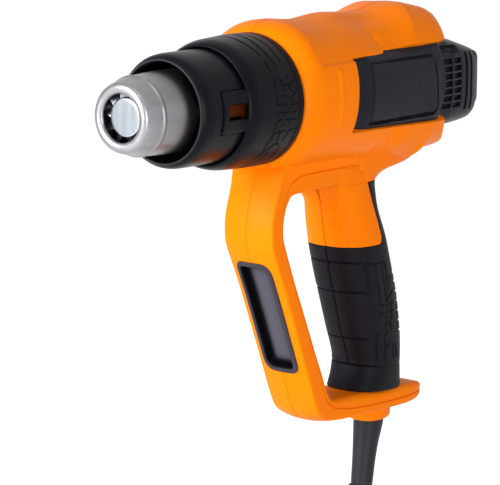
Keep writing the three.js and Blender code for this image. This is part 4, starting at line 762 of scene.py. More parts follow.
OPENING_FRONT = 137.0
OPENING_TILT = 0.06
stations = np.concatenate([
    [98.3, 98.45, 98.8, 99.3, 100, 100.8], np.arange(101.7, 109, 0.9), np.arange(109, 113, 0.5),
    np.arange(113, 119.5, 0.9), np.arange(119.5, 127, 0.35), np.arange(127, 136, 0.9),
    [136.5, 136.99, 137.25, 137.7], np.arange(138.5, 163, 0.9), np.arange(163, 170, 0.4),
    np.arange(170, 183, 0.6), np.arange(183, 246, 1.05), [246.3, 246.8, 247.1, 247.3]])
UPPER, INSIDE, LOWER = 56, 28, 58  # angle lines over, across and under the opening
SEAM_ANGLE, EDGE_ANGLE = 0.0017, 0.3 / BARREL_HALF
RAMP_PROUD, REAR_FACET_DEPTH, RIDGE_PROUD, BELLY_DEPTH, KEEL_DEPTH = 1.7, 0.9, 0.5, 2.7, 1.5
DIMPLE_X, DIMPLE_Z, DIMPLE_RADIUS, DIMPLE_DEPTH = 167.6, 27.4, 1.3, 1.4
RIB_X, RIB_HALF, RIB_REACH, RIB_PROUD = 122.4, 2.2, 14.3, 1.05
OPENING_FLOOR = [(137, 32.0), (214, 31.4), (217, 28.0), (240, 26.0), (248, 21.0)]
FLOOR_WALL = 0.5
RIM_ROUND, RIM_DROP = 2.2, 1.9


def opening_slant(x):
    """How far the lines near the opening's front edge lean back for each millimetre up."""
    return OPENING_TILT * smooth(x, 118, OPENING_FRONT) * (1 - smooth(x, OPENING_FRONT, 156))


def seam_cut(y, depth, near=0.05, far=0.6):
    """Depth of the V line at the middle plane, which fades out at a small distance from it."""
    return depth * (1 - smooth(y, near, far))


def barrel_angles(x):
    """Angle lines for each station: even from the seam to the opening's upper edge, across
    the opening and down to the seam, with a close pair of lines at both edges."""
    edge_x = drawn_in(x, REAR_RIM[-1][1])
    high, low = opening_edges(edge_x)
    top, _, _, power = barrel_size(edge_x, True)
    first = np.arccos((high / top) ** (power / 2))
    _, bottom, _, power = barrel_size(edge_x)
    last = pi - np.arccos((-low / bottom) ** (power / 2))
    runs = ((SEAM_ANGLE, first, UPPER), (first + EDGE_ANGLE, last - EDGE_ANGLE, INSIDE),
            (last, pi - SEAM_ANGLE, LOWER))
    return np.concatenate([a + (b - a) * np.linspace(0, 1, n) for a, b, n in runs], axis=1)


def barrel_relief(x, y, z):
    """Height of the barrel's relief over its plain skin: the sunk shoulder facet with its
    dimple, the ramp behind it, the rear facet with its short ridge, the rib behind the collar,
    and the belly's steps. Each is a product of smooth steps along x and z."""
    shoulder = smooth(y, 3, 16) * smooth(z, 17.0, 18.6)
    front_edge = 110.6 + 2.5 * smooth(z, 24, 34) - 1.5 * smooth(z, 17, 24)
    foot = 167 + 8 * smooth(z, 33, 38.5)
    crest = np.interp(z, [20, 26, 32.3, 37.8, 41], [193.6, 196.3, 199.9, 205.4, 209])
    depth = 1.3 + 0.8 * smooth(x, 140, 167) + smooth(x, 132, 167) * smooth(z, 20, 27)
    sunk = smooth(x, front_edge - 0.7, front_edge + 0.9) * depth
    climb = np.clip((x - foot) / (crest - foot), 0, 1)
    after = smooth(x, crest - 0.3, crest + 1.0) * (1 - smooth(x, crest + 12, crest + 26))
    relief = shoulder * (-sunk + climb * (sunk + RAMP_PROUD) - REAR_FACET_DEPTH * after)
    dimple = np.exp(-((x - DIMPLE_X) ** 2 + (z - DIMPLE_Z) ** 2) / DIMPLE_RADIUS ** 2)
    relief -= DIMPLE_DEPTH * dimple
    streak = np.abs(x - 218.6 + 0.42 * (z - 35.5)) / 0.8
    ridge = np.clip(1 - streak, 0, 1) * (1 - smooth(np.abs(z - 34.6), 2.2, 3.2))
    relief += RIDGE_PROUD * shoulder * ridge
    rib = np.clip(1 - np.abs(x - RIB_X) / RIB_HALF, 0, 1) ** 0.7
    relief += RIB_PROUD * rib * (1 - smooth(np.abs(z - 0.2), RIB_REACH, RIB_REACH + 1))
    crease = 165.2 + 8 * smooth(-z, 32, 39)
    belly = (smooth(x, crease - 0.4, crease + 0.8) * (1 - smooth(x, 176, 190))
             * smooth(-z, 20.4, 20.9))
    keel = smooth(x, 181, 184) * smooth(-z, 31.5, 33) * (1 - smooth(x, 205, 212))
    return relief - BELLY_DEPTH * belly - KEEL_DEPTH * keel


def wall_skin(outer, inner, side, seam=0.0):
    """Thin wall: each round runs along the outer (x, y, z) line and back along the inner one.
    Side -1 mirrors it to the left; the seam keeps it off the middle plane."""
    x, y, z = (np.concatenate([o, i[:, ::-1]], axis=1) for o, i in zip(outer, inner))
    return surface(at(x, side * (y + seam), z), "strip")


def barrel_half(side):
    """Shell of one barrel half: for each station the outer line from seam to seam, then the
    inner line back. The opening's floor lies below the panel, and the rims are rounded."""
    x = stations[:, None]
    angle = barrel_angles(x)
    line = np.arange(angle.shape[1])[None]
    across = (line >= UPPER) & (line < UPPER + INSIDE)
    end = np.where(across, REAR_RIM[-1][1], rear_end(angle))
    xs = drawn_in(x + opening_slant(x) * BARREL_TALL * np.cos(angle), end)
    y, z = barrel(xs, angle)
    top, bottom, half, power = barrel_size(xs)
    ny, nz = y / half ** 2, z / np.where(z > 0, top, bottom) ** 2
    length = np.hypot(ny, nz)
    ny, nz = ny / length, nz / length
    opening = across & (x > OPENING_FRONT + 0.1)
    floor = half - np.interp(x, *zip(*OPENING_FLOOR))
    relief = np.where(opening, -floor, barrel_relief(xs, y, z))
    relief = relief - seam_cut(y, 0.35, 0.1, 0.7)
    lip = np.clip(1 - (end - xs) / RIM_ROUND, 0, 1)
    relief = relief - RIM_DROP * (1 - np.sqrt(1 - lip ** 2)) * (1 - across)
    wall = np.where(opening, floor + FLOOR_WALL, np.maximum(HOUSING_WALL, LEAST_WALL - relief))
    outer = (xs, y + ny * relief, z + nz * relief)
    inner = (xs, np.maximum(y - ny * wall, 0), z - nz * wall)
    return wall_skin(outer, inner, side, SEAM)


# Front bar, bridge and foot in one sweep: inner and outer edge points of each station seen
# from the side, half width at the outer and inner edge, how far the fine side groove runs
# from the inner edge, and the rounding of the inner edge.
FRAME = [
    (168, -48.2, 168, -26, 19, 16.6, 9.0, 3.0), (150, -48.4, 150, -26, 19, 16.6, 9.4, 2.6),
    (138, -48.5, 138, -26, 19, 16.4, 9.6, 1.6), (128, -48.5, 127, -25, 18.6, 16.2, 9.6, 1.3),
    (120, -48.5, 116.5, -24.5, 18, 16, 9.2, 1.2), (114.4, -48.7, 109, -27.5, 17.2, 15.8, 7.8, 1.2),
    (111.4, -49.5, 104, -33.5, 16.4, 15.6, 6, 1.2),
    (109.4, -51.5, 99.6, -42, 15.8, 15.5, 4.3, 1.2),
    (107.2, -55, 95.9, -51.5, 15.5, 15.5, 2.9, 1.2),
    (105.6, -59.5, 93.7, -59.5, 15.5, 15.5, 2.1, 1.2),
    (104.9, -65, 93.1, -66, 15.5, 15.5, 1.8, 1.2), (105.4, -71, 93.8, -74, 15.5, 15.5, 1.8, 1.2),
    (108.8, -79.5, 97.8, -83.5, 15.4, 15.4, 1.8, 1.2),
    (115, -94, 104.4, -98, 15.2, 15.2, 1.8, 1.2), (124, -113.8, 113, -118.4, 15.1, 15.1, 1.8, 1.2),
    (132.8, -133.5, 121, -138, 15, 15, 1.8, 1.2), (138.3, -145, 125.6, -149.5, 15, 15, 2.1, 1.4),
    (143.2, -155.3, 130.3, -161, 14.9, 14.9, 3, 2),
    (147, -160.3, 134.6, -168.3, 14.8, 14.8, 3.8, 2.6),
    (152, -162.3, 141.5, -173, 14.8, 14.8, 4.7, 3.2), (160, -162.8, 152, -175, 15, 15, 6.0, 3.6),
    (170, -163.4, 166, -176.2, 15.4, 15.4, 6.5, 3.8),
    (190, -165.2, 190, -177.4, 16.3, 16.4, 6.0, 3.6), (205, -165.8, 206, -178, 16.8, 17, 6.2, 3.4),
    (217, -166, 218, -178.2, 16.6, 17, 6.2, 3.2),
    (224.6, -166.6, 225.6, -177.6, 15.4, 16.2, 5.6, 3),
    (229.2, -167.8, 229.8, -176.4, 13.4, 14.6, 4.3, 2.4),
    (231.6, -169.6, 231.9, -174.6, 11, 12.2, 2.5, 1.4)]
OUTER_ROUND = 1.5
CROWN, CROWN_POWER = 1.8, 2.2
FAN_HOLLOW = 8.0
GROOVE_HALF, GROOVE_DEPTH = 0.55, 0.75
SIDE_STEP = 0.25


def frame_half(side):
    """Sweep of one half of the bar's section along the smoothed stations. The section runs
    over the crowned outer face, round the outer edge, down the side with its groove, round
    the inner edge and back over the inner face to the middle plane. Inside the barrel the
    outer face is hollowed out, which leaves room for the fan."""
    rows = line_through(FRAME, 240)
    inner, outer = rows[:, 0:2], rows[:, 2:4]
    width = np.linalg.norm(outer - inner, axis=1)[:, None]
    across = (inner - outer) / width
    out_half, in_half, run, inner_round = (rows[:, k:k + 1] for k in (4, 5, 6, 7))
    t = np.linspace(0, 1, 23)[None]
    turn = np.linspace(0, pi / 2, 8)[None, 1:-1]
    bridge = smooth(outer[:, 1:2], -44, -34)
    crown = CROWN * (1 - bridge)
    hollow = FAN_HOLLOW * bridge * smooth(outer[:, 0:1], 127, 140)
    face = (crown * t ** CROWN_POWER + hollow * (1 - t ** 2), (out_half - OUTER_ROUND) * t)
    edge = (crown + OUTER_ROUND * (1 - np.cos(turn)),
            out_half - OUTER_ROUND * (1 - np.sin(turn)))
    start, line = crown + OUTER_ROUND, width - run
    u = np.linspace(0, 1, 12)[None]
    flat = start + (line - GROOVE_HALF - start) * u
    dip = line + np.array([[-0.3, 0.3, GROOVE_HALF]])
    rest = line + GROOVE_HALF + (width - inner_round - line - GROOVE_HALF) * u[:, 1:]
    down = np.concatenate([flat, dip, rest], axis=1)
    sink = np.concatenate([0 * u, [[GROOVE_DEPTH, GROOVE_DEPTH, 0.0]], 0 * u[:, 1:]], axis=1)
    below = np.concatenate([0 * u, [[0.1, SIDE_STEP, SIDE_STEP]], SIDE_STEP + 0 * u[:, 1:]], axis=1)
    half = out_half + (in_half - out_half) * down / width
    side_line = (down, half - sink - below)
    inner_edge = (width - inner_round * (1 - np.sin(turn)),
                  in_half - SIDE_STEP - inner_round * (1 - np.cos(turn)))
    back = (width + 0 * t, (in_half - SIDE_STEP - inner_round) * (1 - t))
    parts = [face, edge, side_line, inner_edge, back]
    deep = np.concatenate([part[0] for part in parts], axis=1)
    y = np.concatenate([part[1] + 0 * width for part in parts], axis=1)
    seam = seam_cut(y, 0.35)
    deep = deep + np.where(deep < width / 2, seam, -seam)
    x, z = (outer[:, k:k + 1] + across[:, k:k + 1] * deep for k in (0, 1))
    front = deep < crown + 0.6
    dent = pocket_depth(z, y) * front
    x, z = x + across[:, 0:1] * dent, z + across[:, 1:2] * dent
    return surface(at(x, side * (y + SEAM), z))


POCKET_TOP, POCKET_BOTTOM, POCKET_HALF, POCKET_DEPTH = -84.6, -143.4, 9.3, 5.4
POCKET_CORNER = 4.5


def pocket_depth(z, y):
    """Depth of the pocket under the black tray on the bar's front: full inside an oblong with
    rounded corners, and falling to nothing over a millimetre round it."""
    middle, length = (POCKET_TOP + POCKET_BOTTOM) / 2, (POCKET_TOP - POCKET_BOTTOM) / 2
    beyond_z = np.maximum(np.abs(z - middle) - length + POCKET_CORNER, 0)
    beyond_y = np.maximum(np.abs(y) - POCKET_HALF + POCKET_CORNER, 0)
    beyond = np.hypot(beyond_z, beyond_y)
    return POCKET_DEPTH * (1 - smooth(beyond, POCKET_CORNER - 1, POCKET_CORNER))


HANDLE_SECTIONS = [  # height, centre x, half depth, half width
    (-30, 158, 26, 18), (-42, 163, 22, 17.4), (-50, 168.5, 18.6, 17.3), (-57, 172.2, 17.8, 17.5),
    (-68, 175.2, 18.5, 18.6), (-80, 179.2, 20, 19.5), (-92, 182.8, 20.6, 19.7),
    (-113, 189.4, 21.8, 18.9), (-131, 194, 21.2, 17.8), (-141, 196.2, 19, 17.6),
    (-150, 197.4, 17, 17.4), (-168, 198.5, 17, 15.8)]
HANDLE_POWER = 2.5
BACK_GROWTH = [  # height, growth of the handle's back: it flares into the belly
    (-30, 60), (-38, 52), (-41, 48.5), (-43, 43), (-43.9, 36), (-45.4, 20), (-47, 12),
    (-48.4, 7.5), (-50, 4.2), (-55, 1.2), (-62, -1),
    (-70, -1.5), (-92, -2), (-115, -1.8), (-135, -0.8), (-150, 0), (-170, 0)]
FRONT_GROWTH = [(-30, 0), (-95, -0.2), (-110, -0.9), (-125, -1.3), (-145, -1.3), (-152, 0),
                (-170, 0)]
RUBBER_THICKNESS = 2.5
GRIP_TOP, SPINE_TOP = -83.5, -49.6
SPINE_EDGE, SPINE_SLANT, SPINE_CORNER = 173.8, 0.335, 5.0
FAN_ROOM = 34.0
BRIDGE_TOP, ARCH_FOOT = -30.0, -37.0
MIDDLE_GAP = 0.003  # angle left free at the middle plane
CORE_SHRINK = RUBBER_THICKNESS + 0.3
handle_rows = line_through(HANDLE_SECTIONS, 240)[::-1]
back_rows = line_through(BACK_GROWTH, 120)[::-1]
front_rows = line_through(FRONT_GROWTH, 120)[::-1]


def handle_size(z):
    """Centre, depth to the front, depth to the back and half width of the handle at z."""
    centre, depth, half = read(handle_rows, z, 1, 2, 3)
    return centre, depth + read(front_rows, z, 1)[0], depth + read(back_rows, z, 1)[0], half


def handle(z, angle, shrink=0.0):
    """x and side distance of the handle's skin at a height. The angle runs from the front
    over the side to the back; sine and cosine are raised to 2/power. The front half grows
    boxy towards the top, where it meets the bridge."""
    centre, front, back, half = handle_size(z)
    c, s = np.cos(angle), np.sin(angle)
    depth = np.where(c > 0, front, back) - shrink
    power = HANDLE_POWER + np.where(c > 0, 2.4, 0) * smooth(z, -62, -47)
    x = centre - depth * boxy(c, power)
    return x, (half - shrink) * boxy(s, power)


def spine_angle(z):
    """Angle at which the orange part ends and the rubber spine starts: a slanting line, with
    a round corner where it meets the top of the rubber sleeve."""
    edge = SPINE_EDGE + SPINE_SLANT * (SPINE_TOP - z)
    low = np.clip(z - GRIP_TOP, 0, SPINE_CORNER)
    edge = edge - (SPINE_CORNER - np.sqrt(SPINE_CORNER ** 2 - (SPINE_CORNER - low) ** 2))
    centre, front, back, half = handle_size(z)
    share = np.clip((edge - centre) / back, -1, 1)
    return pi - np.arccos(np.abs(share) ** (HANDLE_POWER / 2) * np.sign(share))


NECK_LINE = [[(146, -38.2), (152.9, -38.9), (161.6, -39.8), (165.2, -40.1), (166.8, -40.7),
              (167.9, -41.9), (170.2, -45.2), (172.6, -49)]]


def upper_grip_half(side):
    """Orange part of the grip: full size from the front to the spine, and the core that the
    rubber lies on from there to the back. Its top arches over the fan."""
    z = np.concatenate([
        np.arange(BRIDGE_TOP, ARCH_FOOT, -1), np.arange(ARCH_FOOT, -49.3, -0.3), [-49.4, -49.5],
        np.arange(-50, -77, -1), np.arange(-77, -83.0, -0.25), [-83.25]])[:, None]
    cut_at = np.where(z > SPINE_TOP + 0.15, pi, spine_angle(z) - 0.012)
    t = np.linspace(0, 1, 140)[None]
    front = MIDDLE_GAP + (cut_at - MIDDLE_GAP) * t
    x1, y1 = handle(z, front)
    fold = 0.35 * smooth(y1, 11.5, 12.4) * (1 - smooth(y1, 12.4, 13.4)) * (x1 < 176) * (z < -50)
    fold += 0.8 * groove(away(x1, z + 0 * x1, strokes(NECK_LINE)), 0.35, 0.6) * (y1 > 9)
    x1 = x1 + seam_cut(y1, 0.3) * (t < 0.5)
    y1 = y1 - fold
    core = cut_at + (pi - MIDDLE_GAP - cut_at) * np.linspace(0, 1, 24)[None]
    x2, y2 = handle(z, core, CORE_SHRINK)
    x, y = np.concatenate([x1, x2], 1), np.concatenate([y1, y2], 1)
    arch = -np.sqrt(FAN_ROOM ** 2 - y ** 2)
    rise = (z - ARCH_FOOT) * (arch - ARCH_FOOT) / (BRIDGE_TOP - ARCH_FOOT)
    z = np.where(z > ARCH_FOOT, ARCH_FOOT + rise, z + 0 * y)
    return surface(at(x, side * (y + SEAM), z))


def lower_core_half(side):
    """Core of the grip inside the rubber and the skirt, down into the foot."""
    z = np.arange(-83, -166, -2.0)[:, None]
    x, y = handle(z, np.linspace(0, pi, 48)[None], CORE_SHRINK)
    return surface(at(x, side * (y + SEAM), z))


BOSS_X, BOSS_DEPTH, BOSS_HALF = 200.5, 11.5, 10.5


def foot_boss_half(side):
    """Ridge under the foot round the cord's exit: a superellipse that narrows downwards."""
    z = np.array([-172, -176, -180, -182.2, -183.2, -183.8, -184])[:, None]
    grow = np.array([0.8, 0.5, 0.2, 0.0, -0.4, -1.1, -2.2])[:, None]
    angle = np.linspace(0, pi, 48)[None]
    c, s = np.cos(angle), np.sin(angle)
    x = BOSS_X - (BOSS_DEPTH + grow) * boxy(c, HANDLE_POWER)
    y = (BOSS_HALF + grow) * boxy(s, HANDLE_POWER)
    return surface(at(x, side * (y + SEAM), z))


# The nylon is a warm orange, a little deeper in drifts, with a fine grain and satin gloss.
orange = two_tone("orange nylon", (0.88, 0.178, 0.0), (0.95, 0.215, 0.001), (24, 3), (1800, 2),
                  (0.34, 0.12), 0.00003, 0.5, Specular_IOR_Level=0.045)
SHELL_PARTS = [barrel_half, frame_half, upper_grip_half, lower_core_half, foot_boss_half]
for name, side in SIDES:
    shell = new_piece("shell_" + name, [part(side) for part in SHELL_PARTS], 30)
    dress(shell, orange, nodes=["housing_" + name])

# Side panels: black covers sunk into the sides of the barrel. The front of each slopes in to
# the opening's edge, and a plain plate stands in the middle inside a bent groove.
PANEL_FRONT, PANEL_REAR = 137.35, 215.9
PANEL_SINK, FRONT_SLOPE, PANEL_THICKNESS = 1.0, 2.3, 2.2
PLATE_FRONT, PLATE_TOP, PLATE_BOTTOM = 151.0, 15.0, -15.4
PLATE_CORNER, PLATE_PROUD = 4.0, 0.55


def side_of(section, z):
    """Side distance at height z of a section's skin: half width times (1 - |z/tall|^p)^(1/p)."""
    top, bottom, half, power = section
    share = np.abs(z / np.where(z > 0, top, bottom)) ** power
    return half * (1 - np.minimum(share, 1)) ** (1 / power)


def plate_groove():
    """Fine line along the plate's top and wide line down its rear and along its bottom, as
    rows of straight pieces with a rounded corner at the two rear ends."""
    corner = np.linspace(0, pi / 2, 8)
    r = PLATE_CORNER
    upper = [(208.9 - r + r * sin(a), PLATE_TOP - r + r * cos(a)) for a in corner]
    lower = [(211.6 - r + r * cos(a), PLATE_BOTTOM + r - r * sin(a)) for a in corner]
    return (strokes([[(PLATE_FRONT + 1, PLATE_TOP)] + upper]),
            strokes([[upper[-1]] + lower + [(PLATE_FRONT + 0.5, PLATE_BOTTOM)]]))


def side_panel(side):
    """Cover from the outer face, lowered by its slopes and grooves, back to a plain inside."""
    x = np.concatenate([[PANEL_FRONT, 137.45, 137.7, 138.1], np.arange(138.5, 215.3, 0.42),
                        [215.5, 215.75, PANEL_REAR]])[:, None]
    high, low = opening_edges(x)
    t = np.linspace(0, 1, 96)[None]
    z = (high - 0.35) + (low - high + 0.7) * t
    x = x + 0 * z
    xs = x + opening_slant(x) * z
    fine, wide = plate_groove()
    sink = PANEL_SINK + FRONT_SLOPE * (1 - smooth(x, 138, 152.5)) + 1.1 * smooth(z, 15.6, 19.6)
    sink += 0.5 * smooth(-z, 16.5, 19.5)
    inside = smooth(x, 150.6, 151.8) * smooth(z, PLATE_BOTTOM, PLATE_BOTTOM + 0.6)
    inside *= (1 - smooth(z, PLATE_TOP - 0.6, PLATE_TOP)) * (1 - smooth(x + 0.09 * z, 209.4, 210))
    sink -= PLATE_PROUD * inside
    sink += 0.9 * groove(away(x, z, fine), 0.3, 0.4) + 1.7 * groove(away(x, z, wide), 0.65, 0.5)
    rim = np.minimum(np.minimum(x - PANEL_FRONT, PANEL_REAR - x), np.minimum(t, 1 - t) * 38.5)
    sink += 0.4 * (1 - smooth(rim, 0, 0.7))
    face = side_of(barrel_size(xs), z)
    inner = np.minimum(face - PANEL_SINK - FRONT_SLOPE - PANEL_THICKNESS, face - sink - 0.8)
    return wall_skin((xs, face - sink, z), (xs, inner, z), side)


panel_black = dark_plastic("panel moulding", (0.0095, 0.0092, 0.0145), 2300.0, 0.32)
for name, side in SIDES:
    cover = new_piece("panel_" + name, [side_panel(side)], 40)
    dress(cover, panel_black, nodes=["side_panel_" + name])

# Rear cap: black cup that closes the barrel. Its section grows boxy to the rear while its top
# slopes down. Each side has a grille of two by seven air slots and two upright channels near
# the rear rim, and the end wall has four wide slots for the air intake.
CAP_FRONT = 216.3
CAP_SECTIONS = [  # distance behind the panels, top, bottom, half width, power of the rounding
    (0, 32.5, 30, 34.4, 2.25), (6, 28.0, 28.6, 34.3, 2.6), (10, 25.8, 27.8, 34.2, 3.0),
    (14, 24.2, 27.2, 34, 3.4), (24, 21.2, 26.3, 33.2, 4), (31, 18.9, 25.6, 32.3, 4.4),
    (36, 17.4, 24.9, 31.2, 4.8), (38.4, 16.7, 24.2, 30.5, 4.8), (38.9, 14.3, 17.3, 30.0, 9),
    (41.5, 14.2, 17.1, 29.2, 9), (43.6, 13.9, 16.9, 27.9, 9), (44.5, 13.5, 16.4, 26.6, 8)]
CAP_WALL = 2.0
CAP_DEPTH = 44.5
SLOT_ROWS, SLOT_PITCH, SLOT_HEIGHT, SLOT_MIDDLE = 7, 3.95, 2.9, -1.5
SLOT_COLUMNS = [(219.0, 227.3), (228.3, 236.6)]
CHANNELS = [(241.9, 1.0, 2.2), (247.5, 0.7, 1.7)]  # middle, half width, depth
POCKET_CUT, JOINT_CUT = 2.6, 0.5
INTAKE_SLOTS = [-13.5, -7.5, 4.5, 10.5]
INTAKE_HALF, INTAKE_HEIGHT = 12.0, 3.0
ARM_LINES = 12  # lines of the end wall from a slot's end to the rim
cap_rows = line_through(CAP_SECTIONS, 160)


def cap_size(x):
    """Top, bottom, half width and rounding power of the cap at x."""
    return read(cap_rows, x - CAP_FRONT, 1, 2, 3, 4)


def cap_stations():
    """Stations along the cap, with a line at both ends of each column of slots."""
    first, second = (np.linspace(a, b, 9) for a, b in SLOT_COLUMNS)
    return np.concatenate([
        [CAP_FRONT, 216.5, 216.9, 217.6, 218.4], first, [227.8], second,
        np.arange(237.2, 240, 0.7), np.arange(240, 250, 0.3), np.arange(250, 254.1, 0.6),
        np.arange(254.3, 256, 0.2), np.arange(256, 259.4, 0.6), [259.9, 260.4, 260.65, 260.8]])


def slot_lines():
    """Heights of the grid lines over the rows of slots, from the top one down, and which of
    the cells between them are open."""
    lines, open_cell = [], []
    for row in reversed(range(SLOT_ROWS)):
        middle = SLOT_MIDDLE + (row - (SLOT_ROWS - 1) / 2) * SLOT_PITCH
        lines += [middle + SLOT_HEIGHT / 2 * s for s in (1, 1 / 3, -1 / 3, -1)]
        open_cell += [True, True, True, False]
    return np.array(lines), np.array(open_cell[:-1])


def cap_relief(x, y, z):
    """Depth cut into the cap's skin: two upright channels on each side, a pocket over the
    grille and a line at the joint with the housing, all with soft edges."""
    upright = smooth(z, -17.2, -16) * (1 - smooth(z, 13.2, 14.4))
    cut = sum(depth * groove(np.abs(x - middle), half, 0.6) for middle, half, depth in CHANNELS)
    pocket = smooth(x, 218.6, 219.4) * (1 - smooth(x, 234, 235))
    pocket = pocket * smooth(z, 14.2, 14.9) * (1 - smooth(z, 17.6, 18.4)) * (y > 8)
    joint = 1 - smooth(x, CAP_FRONT, CAP_FRONT + 0.7)
    return cut * upright + POCKET_CUT * pocket + JOINT_CUT * joint


def cap_grid(x):
    """Round of points at each station: over the top, down the right side through the slot
    lines, under the bottom and back up the left. Returns the grid and the slot cells."""
    x = x[:, None]
    top, bottom, half, power = cap_size(x)
    rows, open_cell = slot_lines()
    tall = np.where(rows[None] > 0, top, bottom)
    middle = np.arccos(np.clip(np.sign(rows) * np.abs(rows / tall) ** (power / 2), -1, 1))
    t = np.linspace(0, 1, 34)[None]
    above = 0.002 + (middle[:, :1] - 0.002) * t[:, :-1]
    below = middle[:, -1:] + (pi - 0.002 - middle[:, -1:]) * t[:, 1:]
    angle = np.concatenate([above, middle, below], axis=1)
    cells = np.concatenate([np.zeros(33, bool), open_cell, np.zeros(33, bool)])
    c, s = np.cos(angle), np.sin(angle)
    y, z = half * boxy(s, power), np.where(c > 0, top, bottom) * boxy(c, power)
    y = y - cap_relief(x, y, z) * np.minimum(1, y / 8)
    both_y = np.concatenate([y, -y[:, ::-1]], axis=1)
    both_z = np.concatenate([z, z[:, ::-1]], axis=1)
    both_cells = np.concatenate([cells, [False], cells[::-1], [False]])
    return at(x, both_y, both_z), both_cells


def cap_sides():
    """Open skin of the cap's sides with its slots left out, turned outwards."""
    x = cap_stations()
    grid, open_cell = cap_grid(x)
    points, quads, tris = surface(grid, "fan")
    middle = (x[1:] + x[:-1]) / 2
    in_column = np.zeros(len(middle), bool)
    for a, b in SLOT_COLUMNS:
        in_column |= (middle > a) & (middle < b)
    kept = ~(in_column[:, None] & open_cell[None]).ravel()
    return points[:-2], quads[kept], tris[:0]


def cap_end():
    """Open skin of the end wall: lines across at the slots' edges, each from the left rim to
    the right rim, with the cells of the slots left out."""
    top, bottom, half, power = (float(v) for v in cap_size(CAP_FRONT + CAP_DEPTH))
    edges = [z + s * INTAKE_HEIGHT / 2 for z in INTAKE_SLOTS for s in (-1, 1)]
    z = np.unique(np.concatenate([np.linspace(-bottom * 0.999, top * 0.999, 40), edges]))
    near = np.array([np.abs(np.array(edges) - v).min() for v in z])
    z = z[(near > 0.3) | (near < 1e-9)]
    width = side_of((top, bottom, half, power), z)
    share = np.linspace(0, 1, ARM_LINES)[None]
    arm = INTAKE_HALF + (np.maximum(width, INTAKE_HALF + 0.5)[:, None] - INTAKE_HALF) * share
    arm = np.minimum(arm, np.maximum(width[:, None], 0.2))
    centre = np.linspace(-INTAKE_HALF, INTAKE_HALF, ARM_LINES + 1)[None, 1:-1]
    centre = np.minimum(centre, width[:, None])
    y = np.concatenate([-arm[:, ::-1], centre, arm], axis=1)
    bulge = 0.6 * (1 - (y / half) ** 2) * (1 - (z[:, None] / 20) ** 2)
    points = at(CAP_FRONT + CAP_DEPTH - 0.6 + bulge, y, z[:, None])
    n, m = y.shape
    index = np.arange(n * m).reshape(n, m)
    quads = np.stack([index[:-1, :-1], index[:-1, 1:], index[1:, 1:], index[1:, :-1]], -1)
    zc = (z[1:] + z[:-1]) / 2
    in_slot = np.array([np.abs(np.array(INTAKE_SLOTS) - v).min() < INTAKE_HEIGHT / 2 for v in zc])
    across = np.zeros(m - 1, bool)
    across[ARM_LINES - 1:2 * ARM_LINES - 1] = True
    kept = ~(in_slot[:, None] & across[None])
    return points.reshape(-1, 3), quads[kept], np.zeros((0, 3), int)


def thicken(piece, wall):
    """Gives an open skin its wall thickness inwards, rims closed."""
    wall_maker = piece.modifiers.new("wall", "SOLIDIFY")
    wall_maker.thickness = wall / 1000
    wall_maker.offset = -1
    wall_maker.use_rim = True


cap = new_piece("intake_cap", [cap_sides(), cap_end()], 35)
thicken(cap, CAP_WALL)
dress(cap, panel_black, nodes=["rear_cap"])

# Shade sheet: a near-black liner of wire cloth behind each grille, which paints the shade that
# makes the slots look dark. It is cut to shape and lies against the inside of the cap's side wall.
# painted shade: a dark sheet where the inside of the cap would only be in shade
shade_sheet_x, shade_sheet_z = np.meshgrid(np.linspace(217.5, 239, 12), np.linspace(15, -17.5, 26),
                               indexing="ij")
shade_sheet_y = side_of(cap_size(shade_sheet_x), shade_sheet_z) - CAP_WALL
shade_sheet_skins = [
    wall_skin((shade_sheet_x, shade_sheet_y - 0.15, shade_sheet_z), (shade_sheet_x, shade_sheet_y - 0.45, shade_sheet_z), side)
    for side in (-1, 1)]


def shade_sheet_cloth():
    """Near-black wire cloth as painted shade behind the slots: a fine square weave in bump, dull
    and slightly metallic.
    """
    finish = Finish("shade sheet cloth")
    weave = finish.noise(900, 1)
    colour = finish.mix(weave, (0.002, 0.002, 0.003), (0.008, 0.008, 0.010))
    return finish.shade(colour, 0.75, weave, 0.0001, 0.6, Specular_IOR_Level=0.15)


shade_sheet = new_piece("intake_shade_sheet", shade_sheet_skins, 40)
dress(shade_sheet, shade_sheet_cloth())

# Rubber grip: two soft black halves moulded over the orange handle, a sleeve with a spine
# that runs up the back to the switch. Rings and a tyre tread of stepped strokes are cut into
# each side, and rungs run round the back.
SLEEVE_BOTTOM = -150.2
GRIP_RINGS = [  # polylines of (x, z) seen from the side
    [(150, -91.7), (171, -92)], [(150, -108.2), (173.6, -108.5), (178.4, -110.9)],
    [(150, -135.1), (180.7, -135.2)]]
GRIP_TREAD = [
    [(170.6, -92.2), (184.9, -93.2)], [(170.8, -92.7), (174, -101.2), (175, -108), (178, -111)],
    [(177.5, -93.5), (180.4, -102.4), (182.6, -110.2), (183.9, -116.5)],
    [(182.8, -94.3), (185.8, -103.9), (189, -115)], [(186.2, -93.5), (188.9, -103.3)],
    [(191.1, -102.4), (190.1, -108)], [(194.8, -110.5), (191.6, -112.3), (189.6, -115.7)],
    [(183.9, -116.5), (195.6, -117)], [(184.5, -121.1), (195.6, -121.2)],
    [(186.6, -123.1), (195.9, -124.4)], [(188.3, -127.9), (193.7, -127.4)],
    [(190, -116), (190.4, -131)], [(194.4, -116), (194.9, -131)],
    [(186.4, -132.4), (184.4, -133.5), (183.8, -134.1), (186.4, -147.6)],
    [(191.9, -132.6), (189.9, -134), (191.7, -147.6)], [(194.5, -139.3), (191.5, -141.9)],
    [(196.9, -139.7), (198.6, -147.6)], [(199.3, -139.8), (202, -147.6)],
    [(196.5, -101), (203, -101.5)], [(198, -106), (206, -106.8)], [(199.5, -112), (210, -112.6)],
    [(199, -117.4), (212, -118)], [(200, -122.8), (214, -123.6)], [(201, -128.5), (215, -129.4)],
    [(202, -134), (215, -135)], [(197.2, -99), (200.2, -113)], [(200.5, -119), (202.4, -133)]]
